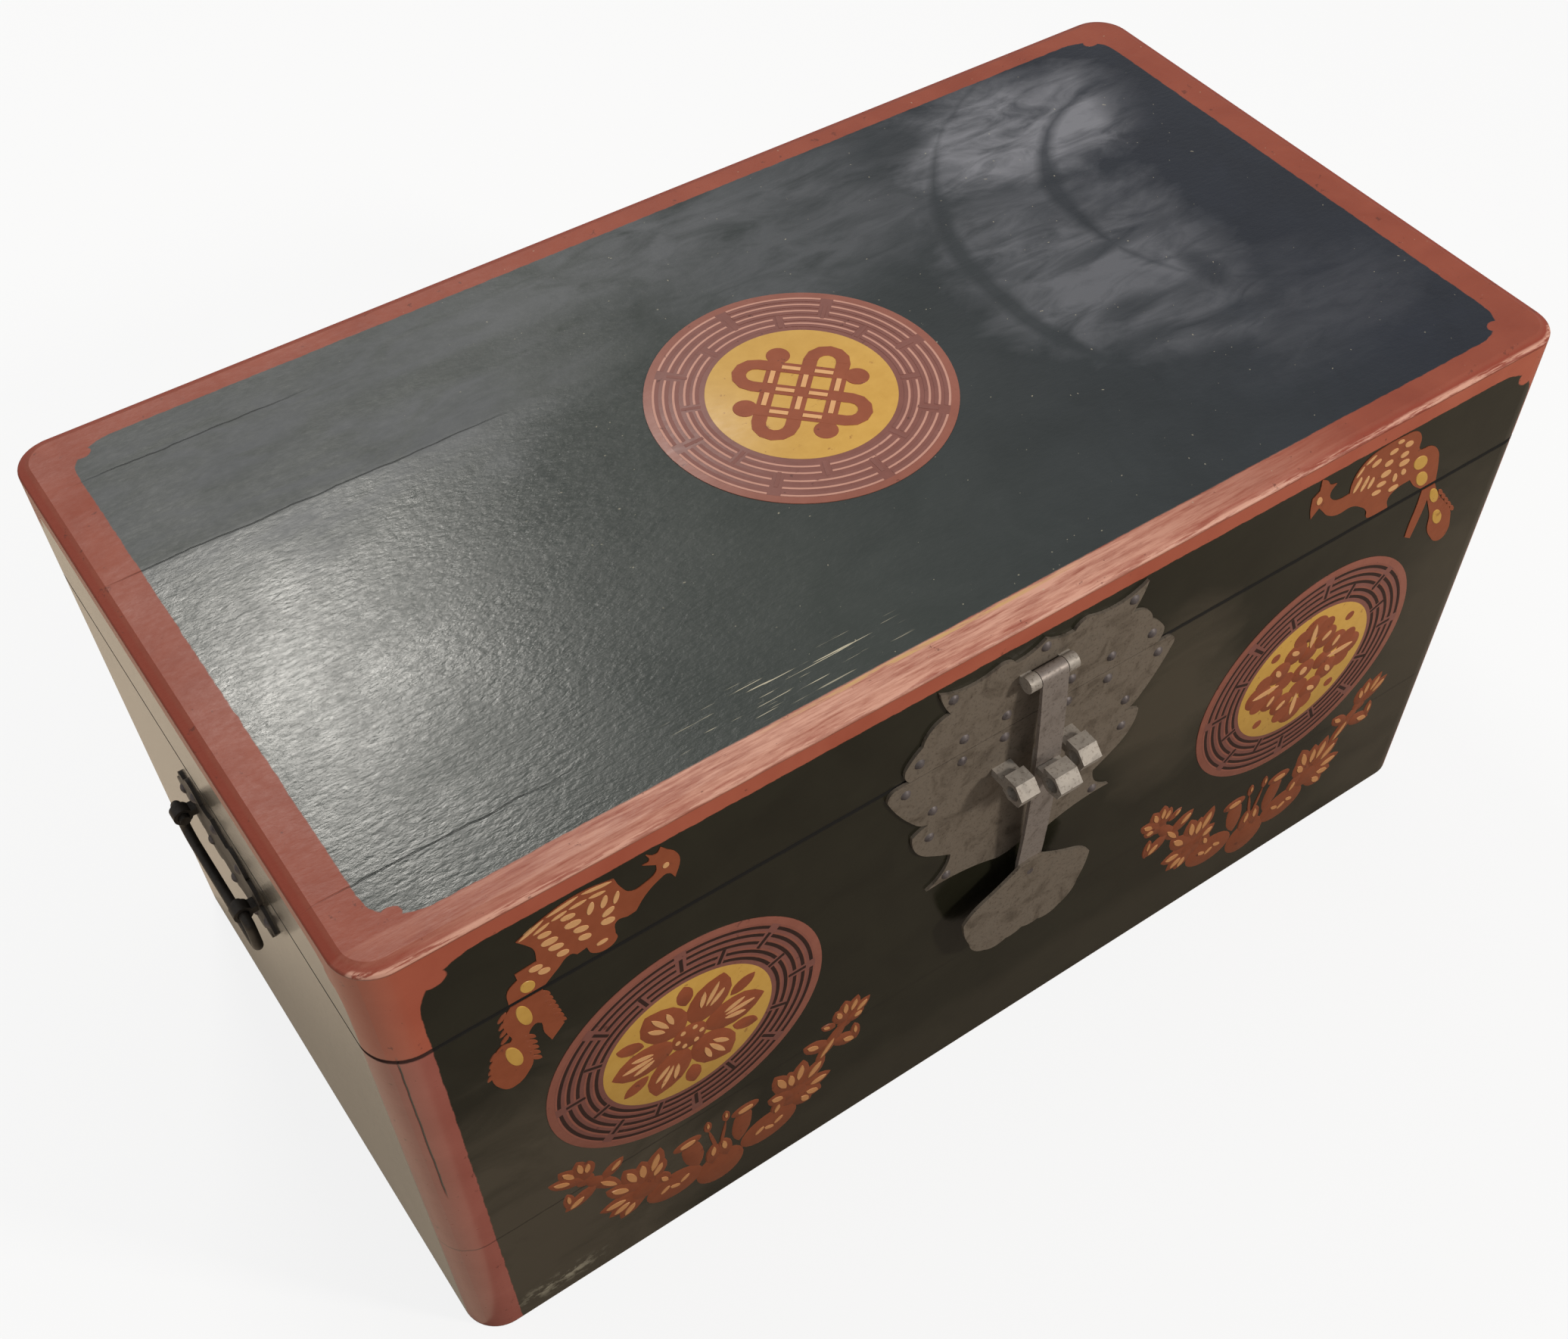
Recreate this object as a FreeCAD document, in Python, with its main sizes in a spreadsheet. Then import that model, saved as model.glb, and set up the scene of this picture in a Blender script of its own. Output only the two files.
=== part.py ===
"""Painted wooden chest with a hinged lid, a folded iron lock set and drop handles.

Frame: origin at the centre of the underside, +X along the length to the right of the
front, +Y to the back, +Z up. All lengths are millimetres.
"""
import FreeCAD, Part
import os
import re

import Sketcher

# Driving dimensions, one cell each
SIZES = {
    # Wooden case
    "chest_length": 660,
    "chest_depth": 352,
    "seam_height": 277,
    "lid_height": 65,
    "wall_thickness": 18,
    "corner_radius": 19,
    "lower_plank_height": 95,
    "bottom_thickness": 12,
    "bottom_lap": 9,
    "top_thickness": 12,
    "top_rim": 10,
    "top_front_plank": 42,
    "top_rear_plank": 68,
    "top_back_plank": 40,
    "bevel_width": 6,
    "bevel_drop": 2.5,
    "edge_round": 1.5,
    "seam_gap": 0.4,
    "seam_bevel": 0.8,
    # Sheet iron and the nails that hold it
    "plate_thickness": 1.6,
    "nail_head_radius": 2.8,
    "nail_head_height": 1.6,
    "nail_shank_radius": 0.9,
    "nail_length": 11,
    # Lock plate in two halves
    "upper_plate_width": 150,
    "upper_plate_height": 50,
    "lower_plate_width": 168,
    "lower_plate_height": 105,
    "plate_gap": 0.4,
    # Padlock eyes folded from strip
    "lock_eye_bore": 4,
    "lock_eye_strip": 2.4,
    "lock_eye_width": 11,
    "lock_eye_reach": 17,
    "lock_eye_drop": 28,
    "lock_eye_spacing": 37,
    "clench_length": 12,
    # Hasp
    "hasp_axis_rise": 31,
    "hasp_axis_reach": 6.2,
    "hasp_knuckle_radius": 4.2,
    "hasp_knuckle_width": 6,
    "hasp_knuckle_gap": 0.4,
    "hasp_pin_radius": 1.7,
    "hasp_width": 15,
    "hasp_strip": 2,
    "hasp_bow": 2.6,
    "hasp_foot_reach": 9,
    "hasp_eye_width": 13,
    "hasp_eye_reach": 24,
    "hasp_eye_drop": 27.5,
    # Pull leaf at the foot of the hasp
    "leaf_width": 82,
    "leaf_height": 64,
    "leaf_drop": 105,
    "leaf_lap": 20,
    "rivet_radius": 2,
    # Back hinges
    "hinge_spread": 400,
    "hinge_width": 44,
    "hinge_lid_leaf": 44,
    "hinge_box_leaf": 62,
    "hinge_knuckle_radius": 4,
    "hinge_pin_radius": 2,
    "hinge_standoff": 0.3,
    # End handles
    "handle_drop": 42,
    "handle_shift": 6,
    "handle_plate_length": 107,
    "handle_plate_height": 52,
    "handle_post_spacing": 66,
    "handle_post_reach": 8.5,
    "handle_post_width": 6,
    "handle_post_strip": 1.8,
    "bail_radius": 2.5,
    "bail_drop": 24,
    "bail_top_bend": 4,
    "bail_low_bend": 9,
    "bail_play": 0.3,
    "bail_side_gap": 0.8,
    # Fits
    "pin_clearance": 0.05,
    "overrun": 5,
}

doc = FreeCAD.newDocument("painted_chest")
sheet = doc.addObject("Spreadsheet::Sheet", "sizes")
for row, (alias, number) in enumerate(SIZES.items(), start=1):
    sheet.set(f"A{row}", alias)
    sheet.set(f"B{row}", str(number))
    sheet.setAlias(f"B{row}", alias)
doc.recompute()

nodes = {}


def expr(text):
    """Expression for the document: every size name gets the sheet's name before it."""
    return re.sub("[a-z_]+", lambda word: "sizes." + word.group(), text)


def measure(text):
    """Number that an expression over the sizes gives now."""
    return float(sheet.evalExpression(expr(text)))


def keep(label, item):
    """Marks a finished sub-part, whose label names its file."""
    item.Label = label
    nodes[label] = item
    return item


# Sketches and features of a body


def new_body(name):
    return doc.addObject("PartDesign::Body", name)


def sketch_on(body, role, name, offset):
    """Sketch on one of the body's own origin planes, moved along the plane's normal."""
    plane = next(item for item in body.Origin.OriginFeatures if item.Role == role)
    sketch = body.newObject("Sketcher::SketchObject", name)
    sketch.AttachmentSupport = [(plane, "")]
    sketch.MapMode = "FlatFace"
    sketch.setExpression("AttachmentOffset.Base.z", expr(offset))
    return sketch


def draw_polygon(sketch, corners):
    """Closed run of straight edges whose corners are bound to expressions."""
    points = [FreeCAD.Vector(measure(u), measure(v), 0) for u, v in corners]
    count = len(points)
    for index, point in enumerate(points):
        sketch.addGeometry(Part.LineSegment(point, points[(index + 1) % count]))
    for index in range(count):
        sketch.addConstraint(Sketcher.Constraint("Coincident", index, 2, (index + 1) % count, 1))
    for index, (point, corner) in enumerate(zip(points, corners)):
        for kind, number, text in zip(("DistanceX", "DistanceY"), (point.x, point.y), corner):
            bound = sketch.addConstraint(Sketcher.Constraint(kind, -1, 1, index, 1, number))
            sketch.setExpression(f"Constraints[{bound}]", expr(text))


def draw_rectangle(sketch, half_u, half_v):
    draw_polygon(sketch, [(f"-( {half_u} )", f"-( {half_v} )"), (half_u, f"-( {half_v} )"),
                          (half_u, half_v), (f"-( {half_u} )", half_v)])


def draw_run(sketch, start, run):
    """Closed edge of lines and arcs: each step is an end point, or a via point and an end point."""
    here = FreeCAD.Vector(*start, 0)
    first = sketch.GeometryCount
    for step in run:
        there = FreeCAD.Vector(*step[-1], 0)
        if len(step) == 1:
            sketch.addGeometry(Part.LineSegment(here, there))
        else:
            sketch.addGeometry(Part.Arc(here, FreeCAD.Vector(*step[0], 0), there))
        here = there
    last = sketch.GeometryCount - 1
    for index in range(first, last + 1):
        following = first if index == last else index + 1
        join_ends(sketch, index, following)


def join_ends(sketch, index, following):
    """Coincidence of the nearest ends of two neighbouring edges."""
    pairs = [(a, b) for a in (1, 2) for b in (1, 2)]
    gap = {pair: sketch.getPoint(index, pair[0]).distanceToPoint(sketch.getPoint(following, pair[1]))
           for pair in pairs}
    a, b = min(gap, key=gap.get)
    sketch.addConstraint(Sketcher.Constraint("Coincident", index, a, following, b))


def draw_circle(sketch, centre, radius):
    sketch.addGeometry(Part.Circle(FreeCAD.Vector(*centre, 0), FreeCAD.Vector(0, 0, 1), radius))


def feature(body, kind, sketch, length):
    item = body.newObject("PartDesign::" + kind, sketch.Name + "_" + kind.lower())
    item.Profile = sketch
    item.setExpression("Length", expr(length))
    return item


def cut_down(body, sketch, length):
    """Pocket that has to take material away."""
    doc.recompute()
    before = body.Shape.Volume
    pocket = feature(body, "Pocket", sketch, length)
    doc.recompute()
    if body.Shape.Volume >= before:
        raise RuntimeError(pocket.Label + " cuts nothing")
    return pocket


def dress(body, kind, base, wanted, bound):
    """Fillet or chamfer on the edges of the base that a test picks out."""
    doc.recompute()
    names = [f"Edge{i}" for i, edge in enumerate(base.Shape.Edges, start=1) if wanted(edge.BoundBox)]
    item = body.newObject("PartDesign::" + kind, body.Name + "_" + kind.lower())
    item.Base = (base, names)
    for name, text in bound.items():
        item.setExpression(name, expr(text))
    doc.recompute()
    return item


# Booleans


def common(name, *items):
    item = doc.addObject("Part::MultiCommon", name)
    item.Shapes = list(items)
    item.Refine = True
    return item


def fused(name, *items):
    item = doc.addObject("Part::MultiFuse", name)
    item.Shapes = list(items)
    item.Refine = True
    return item


def cut(name, base, *tools):
    gathered = doc.addObject("Part::Compound", name + "_tools")
    gathered.Links = list(tools)
    item = doc.addObject("Part::Cut", name)
    item.Base = base
    item.Tool = gathered
    item.Refine = True
    return item


def box(name, length, width, height, corner):
    item = doc.addObject("Part::Box", name)
    for side, text in zip(("Length", "Width", "Height"), (length, width, height)):
        item.setExpression(side, expr(text))
    for axis, text in zip("xyz", corner):
        item.setExpression("Placement.Base." + axis, expr(text))
    return item


# Wooden case: one hollow carcass, cut at the mitres and at the plank joint

HALF_LENGTH = "chest_length / 2"
HALF_DEPTH = "chest_depth / 2"
INNER_LENGTH = "chest_length / 2 - wall_thickness"
INNER_DEPTH = "chest_depth / 2 - wall_thickness"
RIM_LENGTH = "chest_length / 2 - top_rim"
RIM_DEPTH = "chest_depth / 2 - top_rim"
BOX_TOP = "seam_height - seam_gap / 2"
LID_FOOT = "seam_height + seam_gap / 2"
CHEST_TOP = "( seam_height + lid_height )"
TINY_SHARE = 1e-4


def near(number, text):
    return abs(number - measure(text)) < measure("seam_height") * TINY_SHARE


def upright_edge(bounds):
    return bounds.ZLength > measure("wall_thickness") and near(bounds.XLength, "0")


def rim_edge(bounds, text):
    """Edge of the outer outline that lies at one height."""
    flat = near(bounds.ZMin, text) and near(bounds.ZMax, text)
    reach_x = max(abs(bounds.XMin), abs(bounds.XMax)) > measure(f"{HALF_LENGTH} - wall_thickness / 2")
    reach_y = max(abs(bounds.YMin), abs(bounds.YMax)) > measure(f"{HALF_DEPTH} - wall_thickness / 2")
    return flat and (reach_x or reach_y)


def rounded_block(name, foot, height):
    """Block with the case's outline and rounded uprights."""
    body = new_body(name)
    plan = sketch_on(body, "XY_Plane", name + "_plan", foot)
    draw_rectangle(plan, HALF_LENGTH, HALF_DEPTH)
    block = feature(body, "Pad", plan, height)
    return body, dress(body, "Fillet", block, upright_edge, {"Radius": "corner_radius"})


def hollow(body, name, half_u, half_v, top, depth):
    """Rectangular pocket from a given height downwards."""
    plan = sketch_on(body, "XY_Plane", name, top)
    draw_rectangle(plan, half_u, half_v)
    return cut_down(body, plan, depth)


carcass, carcass_edges = rounded_block("carcass", "0", BOX_TOP)
dress(carcass, "Chamfer", carcass_edges, lambda bounds: rim_edge(bounds, BOX_TOP), {"Size": "seam_bevel"})
hollow(carcass, "box_room", INNER_LENGTH, INNER_DEPTH, "seam_height + overrun", "seam_height + 2 * overrun")
hollow(carcass, "bottom_seat", INNER_LENGTH + " + bottom_lap", INNER_DEPTH + " + bottom_lap",
       "bottom_thickness", "bottom_thickness + overrun")

lid_blank, lid_edges = rounded_block("lid_blank", LID_FOOT, "lid_height - seam_gap / 2")
lid_foot_edges = dress(lid_blank, "Chamfer", lid_edges, lambda bounds: rim_edge(bounds, LID_FOOT),
                       {"Size": "seam_bevel"})
lid_bevel = dress(lid_blank, "Chamfer", lid_foot_edges, lambda bounds: rim_edge(bounds, CHEST_TOP),
                  {"Size": "bevel_drop", "Size2": "bevel_width"})
lid_bevel.ChamferType = "Two distances"
doc.recompute()
dress(lid_blank, "Fillet", lid_bevel, lambda bounds: rim_edge(bounds, CHEST_TOP + " - bevel_drop"),
      {"Radius": "edge_round"})
hollow(lid_blank, "lid_room", INNER_LENGTH, INNER_DEPTH, CHEST_TOP + " + overrun", "lid_height + 2 * overrun")
hollow(lid_blank, "top_seat", RIM_LENGTH, RIM_DEPTH, CHEST_TOP + " + overrun", "top_thickness + overrun")

OUTER_X = "( chest_length / 2 + overrun )"
OUTER_Y = "( chest_depth / 2 + overrun )"
INSET_X = "( chest_length / 2 - wall_thickness - overrun )"
INSET_Y = "( chest_depth / 2 - wall_thickness - overrun )"
SIDE_PLANS = {
    "front": [("-" + OUTER_X, "-" + OUTER_Y), (OUTER_X, "-" + OUTER_Y),
              (INSET_X, "-" + INSET_Y), ("-" + INSET_X, "-" + INSET_Y)],
    "back": [(OUTER_X, OUTER_Y), ("-" + OUTER_X, OUTER_Y), ("-" + INSET_X, INSET_Y), (INSET_X, INSET_Y)],
    "left": [("-" + OUTER_X, OUTER_Y), ("-" + OUTER_X, "-" + OUTER_Y),
             ("-" + INSET_X, "-" + INSET_Y), ("-" + INSET_X, INSET_Y)],
    "right": [(OUTER_X, "-" + OUTER_Y), (OUTER_X, OUTER_Y), (INSET_X, INSET_Y), (INSET_X, "-" + INSET_Y)],
}
WHOLE_PLAN = ("chest_length + 2 * overrun", "chest_depth + 2 * overrun")
lower_zone = box("lower_zone", *WHOLE_PLAN, "lower_plank_height + overrun",
                 ("-" + OUTER_X, "-" + OUTER_Y, "-overrun"))
upper_zone = box("upper_zone", *WHOLE_PLAN, "seam_height - lower_plank_height",
                 ("-" + OUTER_X, "-" + OUTER_Y, "lower_plank_height"))

regions = {}
for side, plan_corners in SIDE_PLANS.items():
    region = new_body(side + "_region")
    region_plan = sketch_on(region, "XY_Plane", side + "_region_plan", "-overrun")
    draw_polygon(region_plan, plan_corners)
    feature(region, "Pad", region_plan, CHEST_TOP + " + 2 * overrun")
    regions[side] = region
walls = {}
for side, region in regions.items():
    keep(f"box_{side}_lower", common(f"{side}_lower", carcass, region, lower_zone))
    walls[side] = common(f"{side}_upper", carcass, region, upper_zone)
    walls["lid_" + side] = common(f"{side}_rail", lid_blank, region)
keep("box_back_upper", walls["back"])
keep("lid_back_rail", walls["lid_back"])
keep("lid_left_rail", walls["lid_left"])
keep("lid_right_rail", walls["lid_right"])

# Planks of the bottom and of the top, in the seats cut for them

BOTTOM_PLANKS = ("front", "middle", "rear")
SEAT_LENGTH = f"2 * ( {INNER_LENGTH} + bottom_lap )"
SEAT_DEPTH = f"2 * ( {INNER_DEPTH} + bottom_lap )"
for number, place in enumerate(BOTTOM_PLANKS):
    plank_width = f"{SEAT_DEPTH} / {len(BOTTOM_PLANKS)}"
    corner = (f"-{SEAT_LENGTH} / 2", f"-{SEAT_DEPTH} / 2 + {number} * {plank_width}", "0")
    keep(f"bottom_plank_{place}", box("bottom_" + place, SEAT_LENGTH, plank_width, "bottom_thickness", corner))
TOP_JOINTS = (f"-( {RIM_DEPTH} )", f"-( {HALF_DEPTH} ) + top_front_plank",
              f"{HALF_DEPTH} - top_back_plank - top_rear_plank", f"{HALF_DEPTH} - top_back_plank", RIM_DEPTH)
for place, near_edge, far_edge in zip(("front", "middle", "rear", "back"), TOP_JOINTS, TOP_JOINTS[1:]):
    plank = box("top_" + place, f"2 * ( {RIM_LENGTH} )", f"{far_edge} - ( {near_edge} )", "top_thickness",
                (f"-( {RIM_LENGTH} )", near_edge, CHEST_TOP + " - top_thickness"))
    keep(f"lid_top_plank_{place}", plank)

# Sheet iron outlines, as shares of the plate's half width and height, for one half

UPPER_PLATE_SHARES = [
    [(0.965, 0.0)], [(1.0, 0.08), (1.0, 0.19)], [(0.945, 0.31), (0.88, 0.40)],
    [(0.83, 0.56), (0.69, 0.66)], [(0.745, 0.82), (0.78, 1.0)], [(0.56, 0.885), (0.34, 0.94)],
    [(0.27, 0.93), (0.22, 0.86)], [(0.09, 0.89), (0.0, 0.97)],
]
LOWER_PLATE_SHARES = [
    [(0.94, 0.0)], [(0.99, 0.02), (1.0, 0.07)], [(0.92, 0.20), (0.81, 0.33)],
    [(0.72, 0.385), (0.60, 0.38)], [(0.72, 0.39), (0.82, 0.43)], [(0.79, 0.55), (0.68, 0.65)],
    [(0.61, 0.69), (0.53, 0.73)], [(0.57, 0.84), (0.69, 0.925)], [(0.45, 0.93), (0.17, 0.995)],
    [(0.08, 0.995), (0.0, 0.975)],
]
LEAF_SHARES = [
    [(0.17, 0.01)], [(0.43, 0.12), (0.72, 0.22)], [(0.88, 0.29), (1.0, 0.39)], [(0.96, 0.56), (0.87, 0.72)],
    [(0.77, 0.87), (0.60, 0.95)], [(0.45, 0.995), (0.26, 0.97)], [(0.12, 0.975), (0.0, 0.945)],
]
HINGE_LEAF_SHARES = [
    [(0.82, 0.0)], [(0.82, 0.26)], [(1.0, 0.45), (0.72, 0.62)], [(0.70, 0.82), (0.30, 0.84)],
    [(0.12, 0.87), (0.0, 1.0)],
]
HANDLE_PLATE_SHARES = [
    [(0.13, 0.83), (0.27, 0.78)], [(0.47, 1.0), (0.62, 0.70)], [(0.78, 0.66), (0.80, 0.36)],
    [(0.90, 0.26), (1.0, 0.0)],
]


def half_run(shares, half_width, height):
    """Right half of an outline, as points in the sketch."""
    return [[(u * half_width, v * height) for u, v in step] for step in shares]


def mirrored_run(start, run, flip):
    """The same run walked backwards on the other side of the axis."""
    points = [start] + [step[-1] for step in run]
    back = []
    for index in range(len(run) - 1, -1, -1):
        via = [flip(run[index][0])] if len(run[index]) == 2 else []
        back.append(via + [flip(points[index])])
    return back


def flip_u(point):
    return (-point[0], point[1])


def flip_v(point):
    return (point[0], -point[1])


def scalloped_plate(name, role, offset, thickness, shares, half_width, height, centre, foot):
    """Sheet cut to an outline that is alike on both sides of its middle line."""
    body = new_body(name)
    sketch = sketch_on(body, role, name + "_outline", offset)
    start = (0.0, 0.0)
    run = half_run(shares, half_width, height)
    whole = run + mirrored_run(start, run, flip_u)
    moved = [[(u + centre, v + foot) for u, v in step] for step in whole]
    draw_run(sketch, (start[0] + centre, start[1] + foot), moved)
    feature(body, "Pad", sketch, thickness)
    return body


# Nail with a domed head, modelled once


def nail_shape():
    radius = measure("nail_head_radius")
    rise = measure("nail_head_height")
    shank = measure("nail_shank_radius")
    length = measure("nail_length")
    ball = (radius ** 2 + rise ** 2) / (2 * rise)
    crown = FreeCAD.Vector(0, 0, rise)
    via_u = radius / 2
    via = FreeCAD.Vector(via_u, 0, rise - ball + (ball ** 2 - via_u ** 2) ** 0.5)
    brim = FreeCAD.Vector(radius, 0, 0)
    neck = FreeCAD.Vector(shank, 0, 0)
    low = FreeCAD.Vector(shank, 0, shank - length)
    tip = FreeCAD.Vector(0, 0, -length)
    edges = [Part.Arc(crown, via, brim).toShape()]
    corners = [brim, neck, low, tip, crown]
    edges += [Part.makeLine(a, b) for a, b in zip(corners, corners[1:])]
    return Part.Face(Part.Wire(edges)).revolve(FreeCAD.Vector(), FreeCAD.Vector(0, 0, 1), 360)


NAIL = nail_shape()
UP = FreeCAD.Vector(0, 0, 1)


def nail_group(label, places, outward):
    """Nails with their heads on the plates, one solid each."""
    turn = FreeCAD.Rotation(UP, FreeCAD.Vector(*outward))
    group = doc.addObject("Part::Feature", label)
    nails = []
    for place in places:
        nail = NAIL.copy()
        nail.Placement = FreeCAD.Placement(FreeCAD.Vector(*place), turn)
        nails.append(nail)
    group.Shape = Part.makeCompound(nails)
    return keep(label, group)


# Eye folded from a strip, its two tails driven through the wood and clenched inside

# Corners of a loop that was hammered flat, as shares of its outer radius from the bore
FLAT_LOOP_SHARES = [(-1.0, 1.02), (0.25, 1.02), (1.1, 0.1), (0.75, -0.85), (-0.4, -1.02), (-1.0, -0.6)]


def folded_eye(name, role, offset, width, outward, face, height, reach, bore, strip, wood, flattened=False):
    """Side view of the eye, drawn from the wooden face outwards and padded by the strip's width."""
    outer = bore + strip
    clench = measure("clench_length")
    throat = reach - (outer if flattened else (outer ** 2 - strip ** 2) ** 0.5)

    def at(u, v):
        return (face + outward * u, height + v)

    if flattened:
        loop = [[at(reach + u * outer, v * outer)] for u, v in FLAT_LOOP_SHARES] + [[at(throat, -strip)]]
    else:
        loop = [[at(reach + outer, 0.0), at(throat, -strip)]]

    body = new_body(name)
    sketch = sketch_on(body, role, name + "_side", offset)
    run = [
        [at(throat, strip)], *loop, [at(-wood, -strip)], [at(-wood, -clench)], [at(-wood - strip, -clench)],
        [at(-wood - strip, clench)], [at(-wood, clench)], [at(-wood, strip)],
    ]
    draw_run(sketch, at(-wood, strip), run)
    draw_circle(sketch, at(reach, 0.0), bore)
    feature(body, "Pad", sketch, width)
    return body


FRONT_FACE = -measure(HALF_DEPTH)
WOOD = measure("wall_thickness")
SEAM = measure("seam_height")
LOCK_EYE_HEIGHT = measure("seam_height - lock_eye_drop")
HASP_AXIS_HEIGHT = measure("seam_height + hasp_axis_rise")
lock_eyes = {}
for side, sign in (("left", "-"), ("right", "")):
    lock_eyes[side] = keep(f"lock_eye_{side}", folded_eye(
        f"lock_eye_{side}", "YZ_Plane", f"{sign}lock_eye_spacing / 2 - lock_eye_width / 2", "lock_eye_width",
        -1, FRONT_FACE, LOCK_EYE_HEIGHT, measure("lock_eye_reach"), measure("lock_eye_bore"),
        measure("lock_eye_strip"), WOOD, flattened=True))

# Hinge of the hasp on the lid: two narrow folded eyes and a pin

KNUCKLE_START = "hasp_width / 2 + hasp_knuckle_gap"
HASP_BORE = measure("hasp_pin_radius + pin_clearance")
HASP_STRIP = measure("hasp_knuckle_radius - hasp_pin_radius - pin_clearance")
hasp_eyes = {}
for side, offset in (("left", f"-( {KNUCKLE_START} ) - hasp_knuckle_width"), ("right", KNUCKLE_START)):
    hasp_eyes[side] = keep(f"hasp_hinge_eye_{side}", folded_eye(
        f"hasp_hinge_eye_{side}", "YZ_Plane", offset, "hasp_knuckle_width", -1, FRONT_FACE, HASP_AXIS_HEIGHT,
        measure("hasp_axis_reach"), HASP_BORE, HASP_STRIP, WOOD))


def pin(name, radius, half_length, across, height):
    """Round pin along X, centred on its hinge."""
    item = doc.addObject("Part::Cylinder", name)
    item.setExpression("Radius", expr(radius))
    item.setExpression("Height", expr(f"2 * ( {half_length} )"))
    turn = FreeCAD.Rotation(UP, FreeCAD.Vector(1, 0, 0))
    item.Placement = FreeCAD.Placement(FreeCAD.Vector(), turn)
    item.setExpression("Placement.Base.y", expr(across))
    item.setExpression("Placement.Base.z", expr(height))
    return item


hasp_pin = pin("hasp_hinge_pin", "hasp_pin_radius", f"{KNUCKLE_START} + hasp_knuckle_width",
               f"-( {HALF_DEPTH} ) - hasp_axis_reach", "seam_height + hasp_axis_rise")
hasp_pin.setExpression("Placement.Base.x", expr(f"-( {KNUCKLE_START} ) - hasp_knuckle_width"))
keep("hasp_hinge_pin", hasp_pin)

# Hasp: strap rolled round the pin, bowed over the lock eyes, with its own eye and pull leaf

strap = new_body("hasp_band")
band = sketch_on(strap, "YZ_Plane", "hasp_band_side", "-hasp_width / 2")
STRIP = measure("hasp_strip")
AXIS_REACH = measure("hasp_axis_reach")
KNUCKLE_RADIUS = measure("hasp_knuckle_radius")
LEAF_TOP = measure("seam_height - leaf_drop")
STRAP_FOOT = LEAF_TOP - measure("leaf_lap")
FOOT_REACH = measure("hasp_foot_reach")
TOP_REACH = AXIS_REACH + KNUCKLE_RADIUS - STRIP
BOW_REACH = (TOP_REACH + FOOT_REACH) / 2 + measure("hasp_bow")
BOW_HEIGHT = (HASP_AXIS_HEIGHT + LEAF_TOP) / 2


def in_front(reach, height):
    return (FRONT_FACE - reach, height)


draw_run(band, in_front(TOP_REACH, HASP_AXIS_HEIGHT), [
    [in_front(TOP_REACH + STRIP, HASP_AXIS_HEIGHT)],
    [in_front(BOW_REACH + STRIP, BOW_HEIGHT), in_front(FOOT_REACH + STRIP, LEAF_TOP)],
    [in_front(FOOT_REACH + STRIP, STRAP_FOOT)],
    [in_front(FOOT_REACH, STRAP_FOOT)],
    [in_front(FOOT_REACH, LEAF_TOP)],
    [in_front(BOW_REACH, BOW_HEIGHT), in_front(TOP_REACH, HASP_AXIS_HEIGHT)],
])
feature(strap, "Pad", band, "hasp_width")
roll = sketch_on(strap, "YZ_Plane", "hasp_roll", "-hasp_width / 2")
draw_circle(roll, in_front(AXIS_REACH, HASP_AXIS_HEIGHT), KNUCKLE_RADIUS)
feature(strap, "Pad", roll, "hasp_width")
roll_bore = sketch_on(strap, "YZ_Plane", "hasp_roll_bore", "hasp_width / 2 + overrun")
draw_circle(roll_bore, in_front(AXIS_REACH, HASP_AXIS_HEIGHT), HASP_BORE)
cut_down(strap, roll_bore, "hasp_width + 2 * overrun")


def bow_reach_at(height):
    """How far the back of the bowed strap stands off the front at a height."""
    top = FreeCAD.Vector(TOP_REACH, HASP_AXIS_HEIGHT, 0)
    middle = FreeCAD.Vector(BOW_REACH, BOW_HEIGHT, 0)
    foot = FreeCAD.Vector(FOOT_REACH, LEAF_TOP, 0)
    circle = Part.Arc(top, middle, foot).toShape().Curve
    return circle.Center.x + (circle.Radius ** 2 - (height - circle.Center.y) ** 2) ** 0.5


HASP_EYE_HEIGHT = measure("seam_height - hasp_eye_drop")
STRAP_BACK = bow_reach_at(HASP_EYE_HEIGHT)
hasp_eye = keep("hasp_eye", folded_eye(
    "hasp_eye", "YZ_Plane", "-hasp_eye_width / 2", "hasp_eye_width", -1, FRONT_FACE - STRAP_BACK, HASP_EYE_HEIGHT,
    measure("hasp_eye_reach") - STRAP_BACK, measure("lock_eye_bore"), measure("lock_eye_strip"), 0.0,
    flattened=True))
leaf_plate = scalloped_plate(
    "pull_leaf_plate", "XZ_Plane", f"{HALF_DEPTH} + hasp_foot_reach + hasp_strip", "plate_thickness", LEAF_SHARES,
    measure("leaf_width / 2"), -measure("leaf_height"), 0.0, LEAF_TOP)
rivet = doc.addObject("Part::Cylinder", "leaf_rivet")
rivet.setExpression("Radius", expr("rivet_radius"))
rivet.setExpression("Height", expr("hasp_strip + plate_thickness"))
rivet.Placement = FreeCAD.Placement(FreeCAD.Vector(), FreeCAD.Rotation(UP, FreeCAD.Vector(0, -1, 0)))
rivet.setExpression("Placement.Base.y", expr(f"-( {HALF_DEPTH} ) - hasp_foot_reach"))
rivet.setExpression("Placement.Base.z", expr("seam_height - leaf_drop - leaf_lap / 2"))
keep("pull_leaf_rivet", rivet)
keep("pull_leaf", cut("pull_leaf_cut", leaf_plate, rivet))
keep("hasp_strap", cut("hasp_strap_cut", strap, rivet, hasp_eye))

# Lock plate: an upper half on the lid and a lower half on the box

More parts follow.
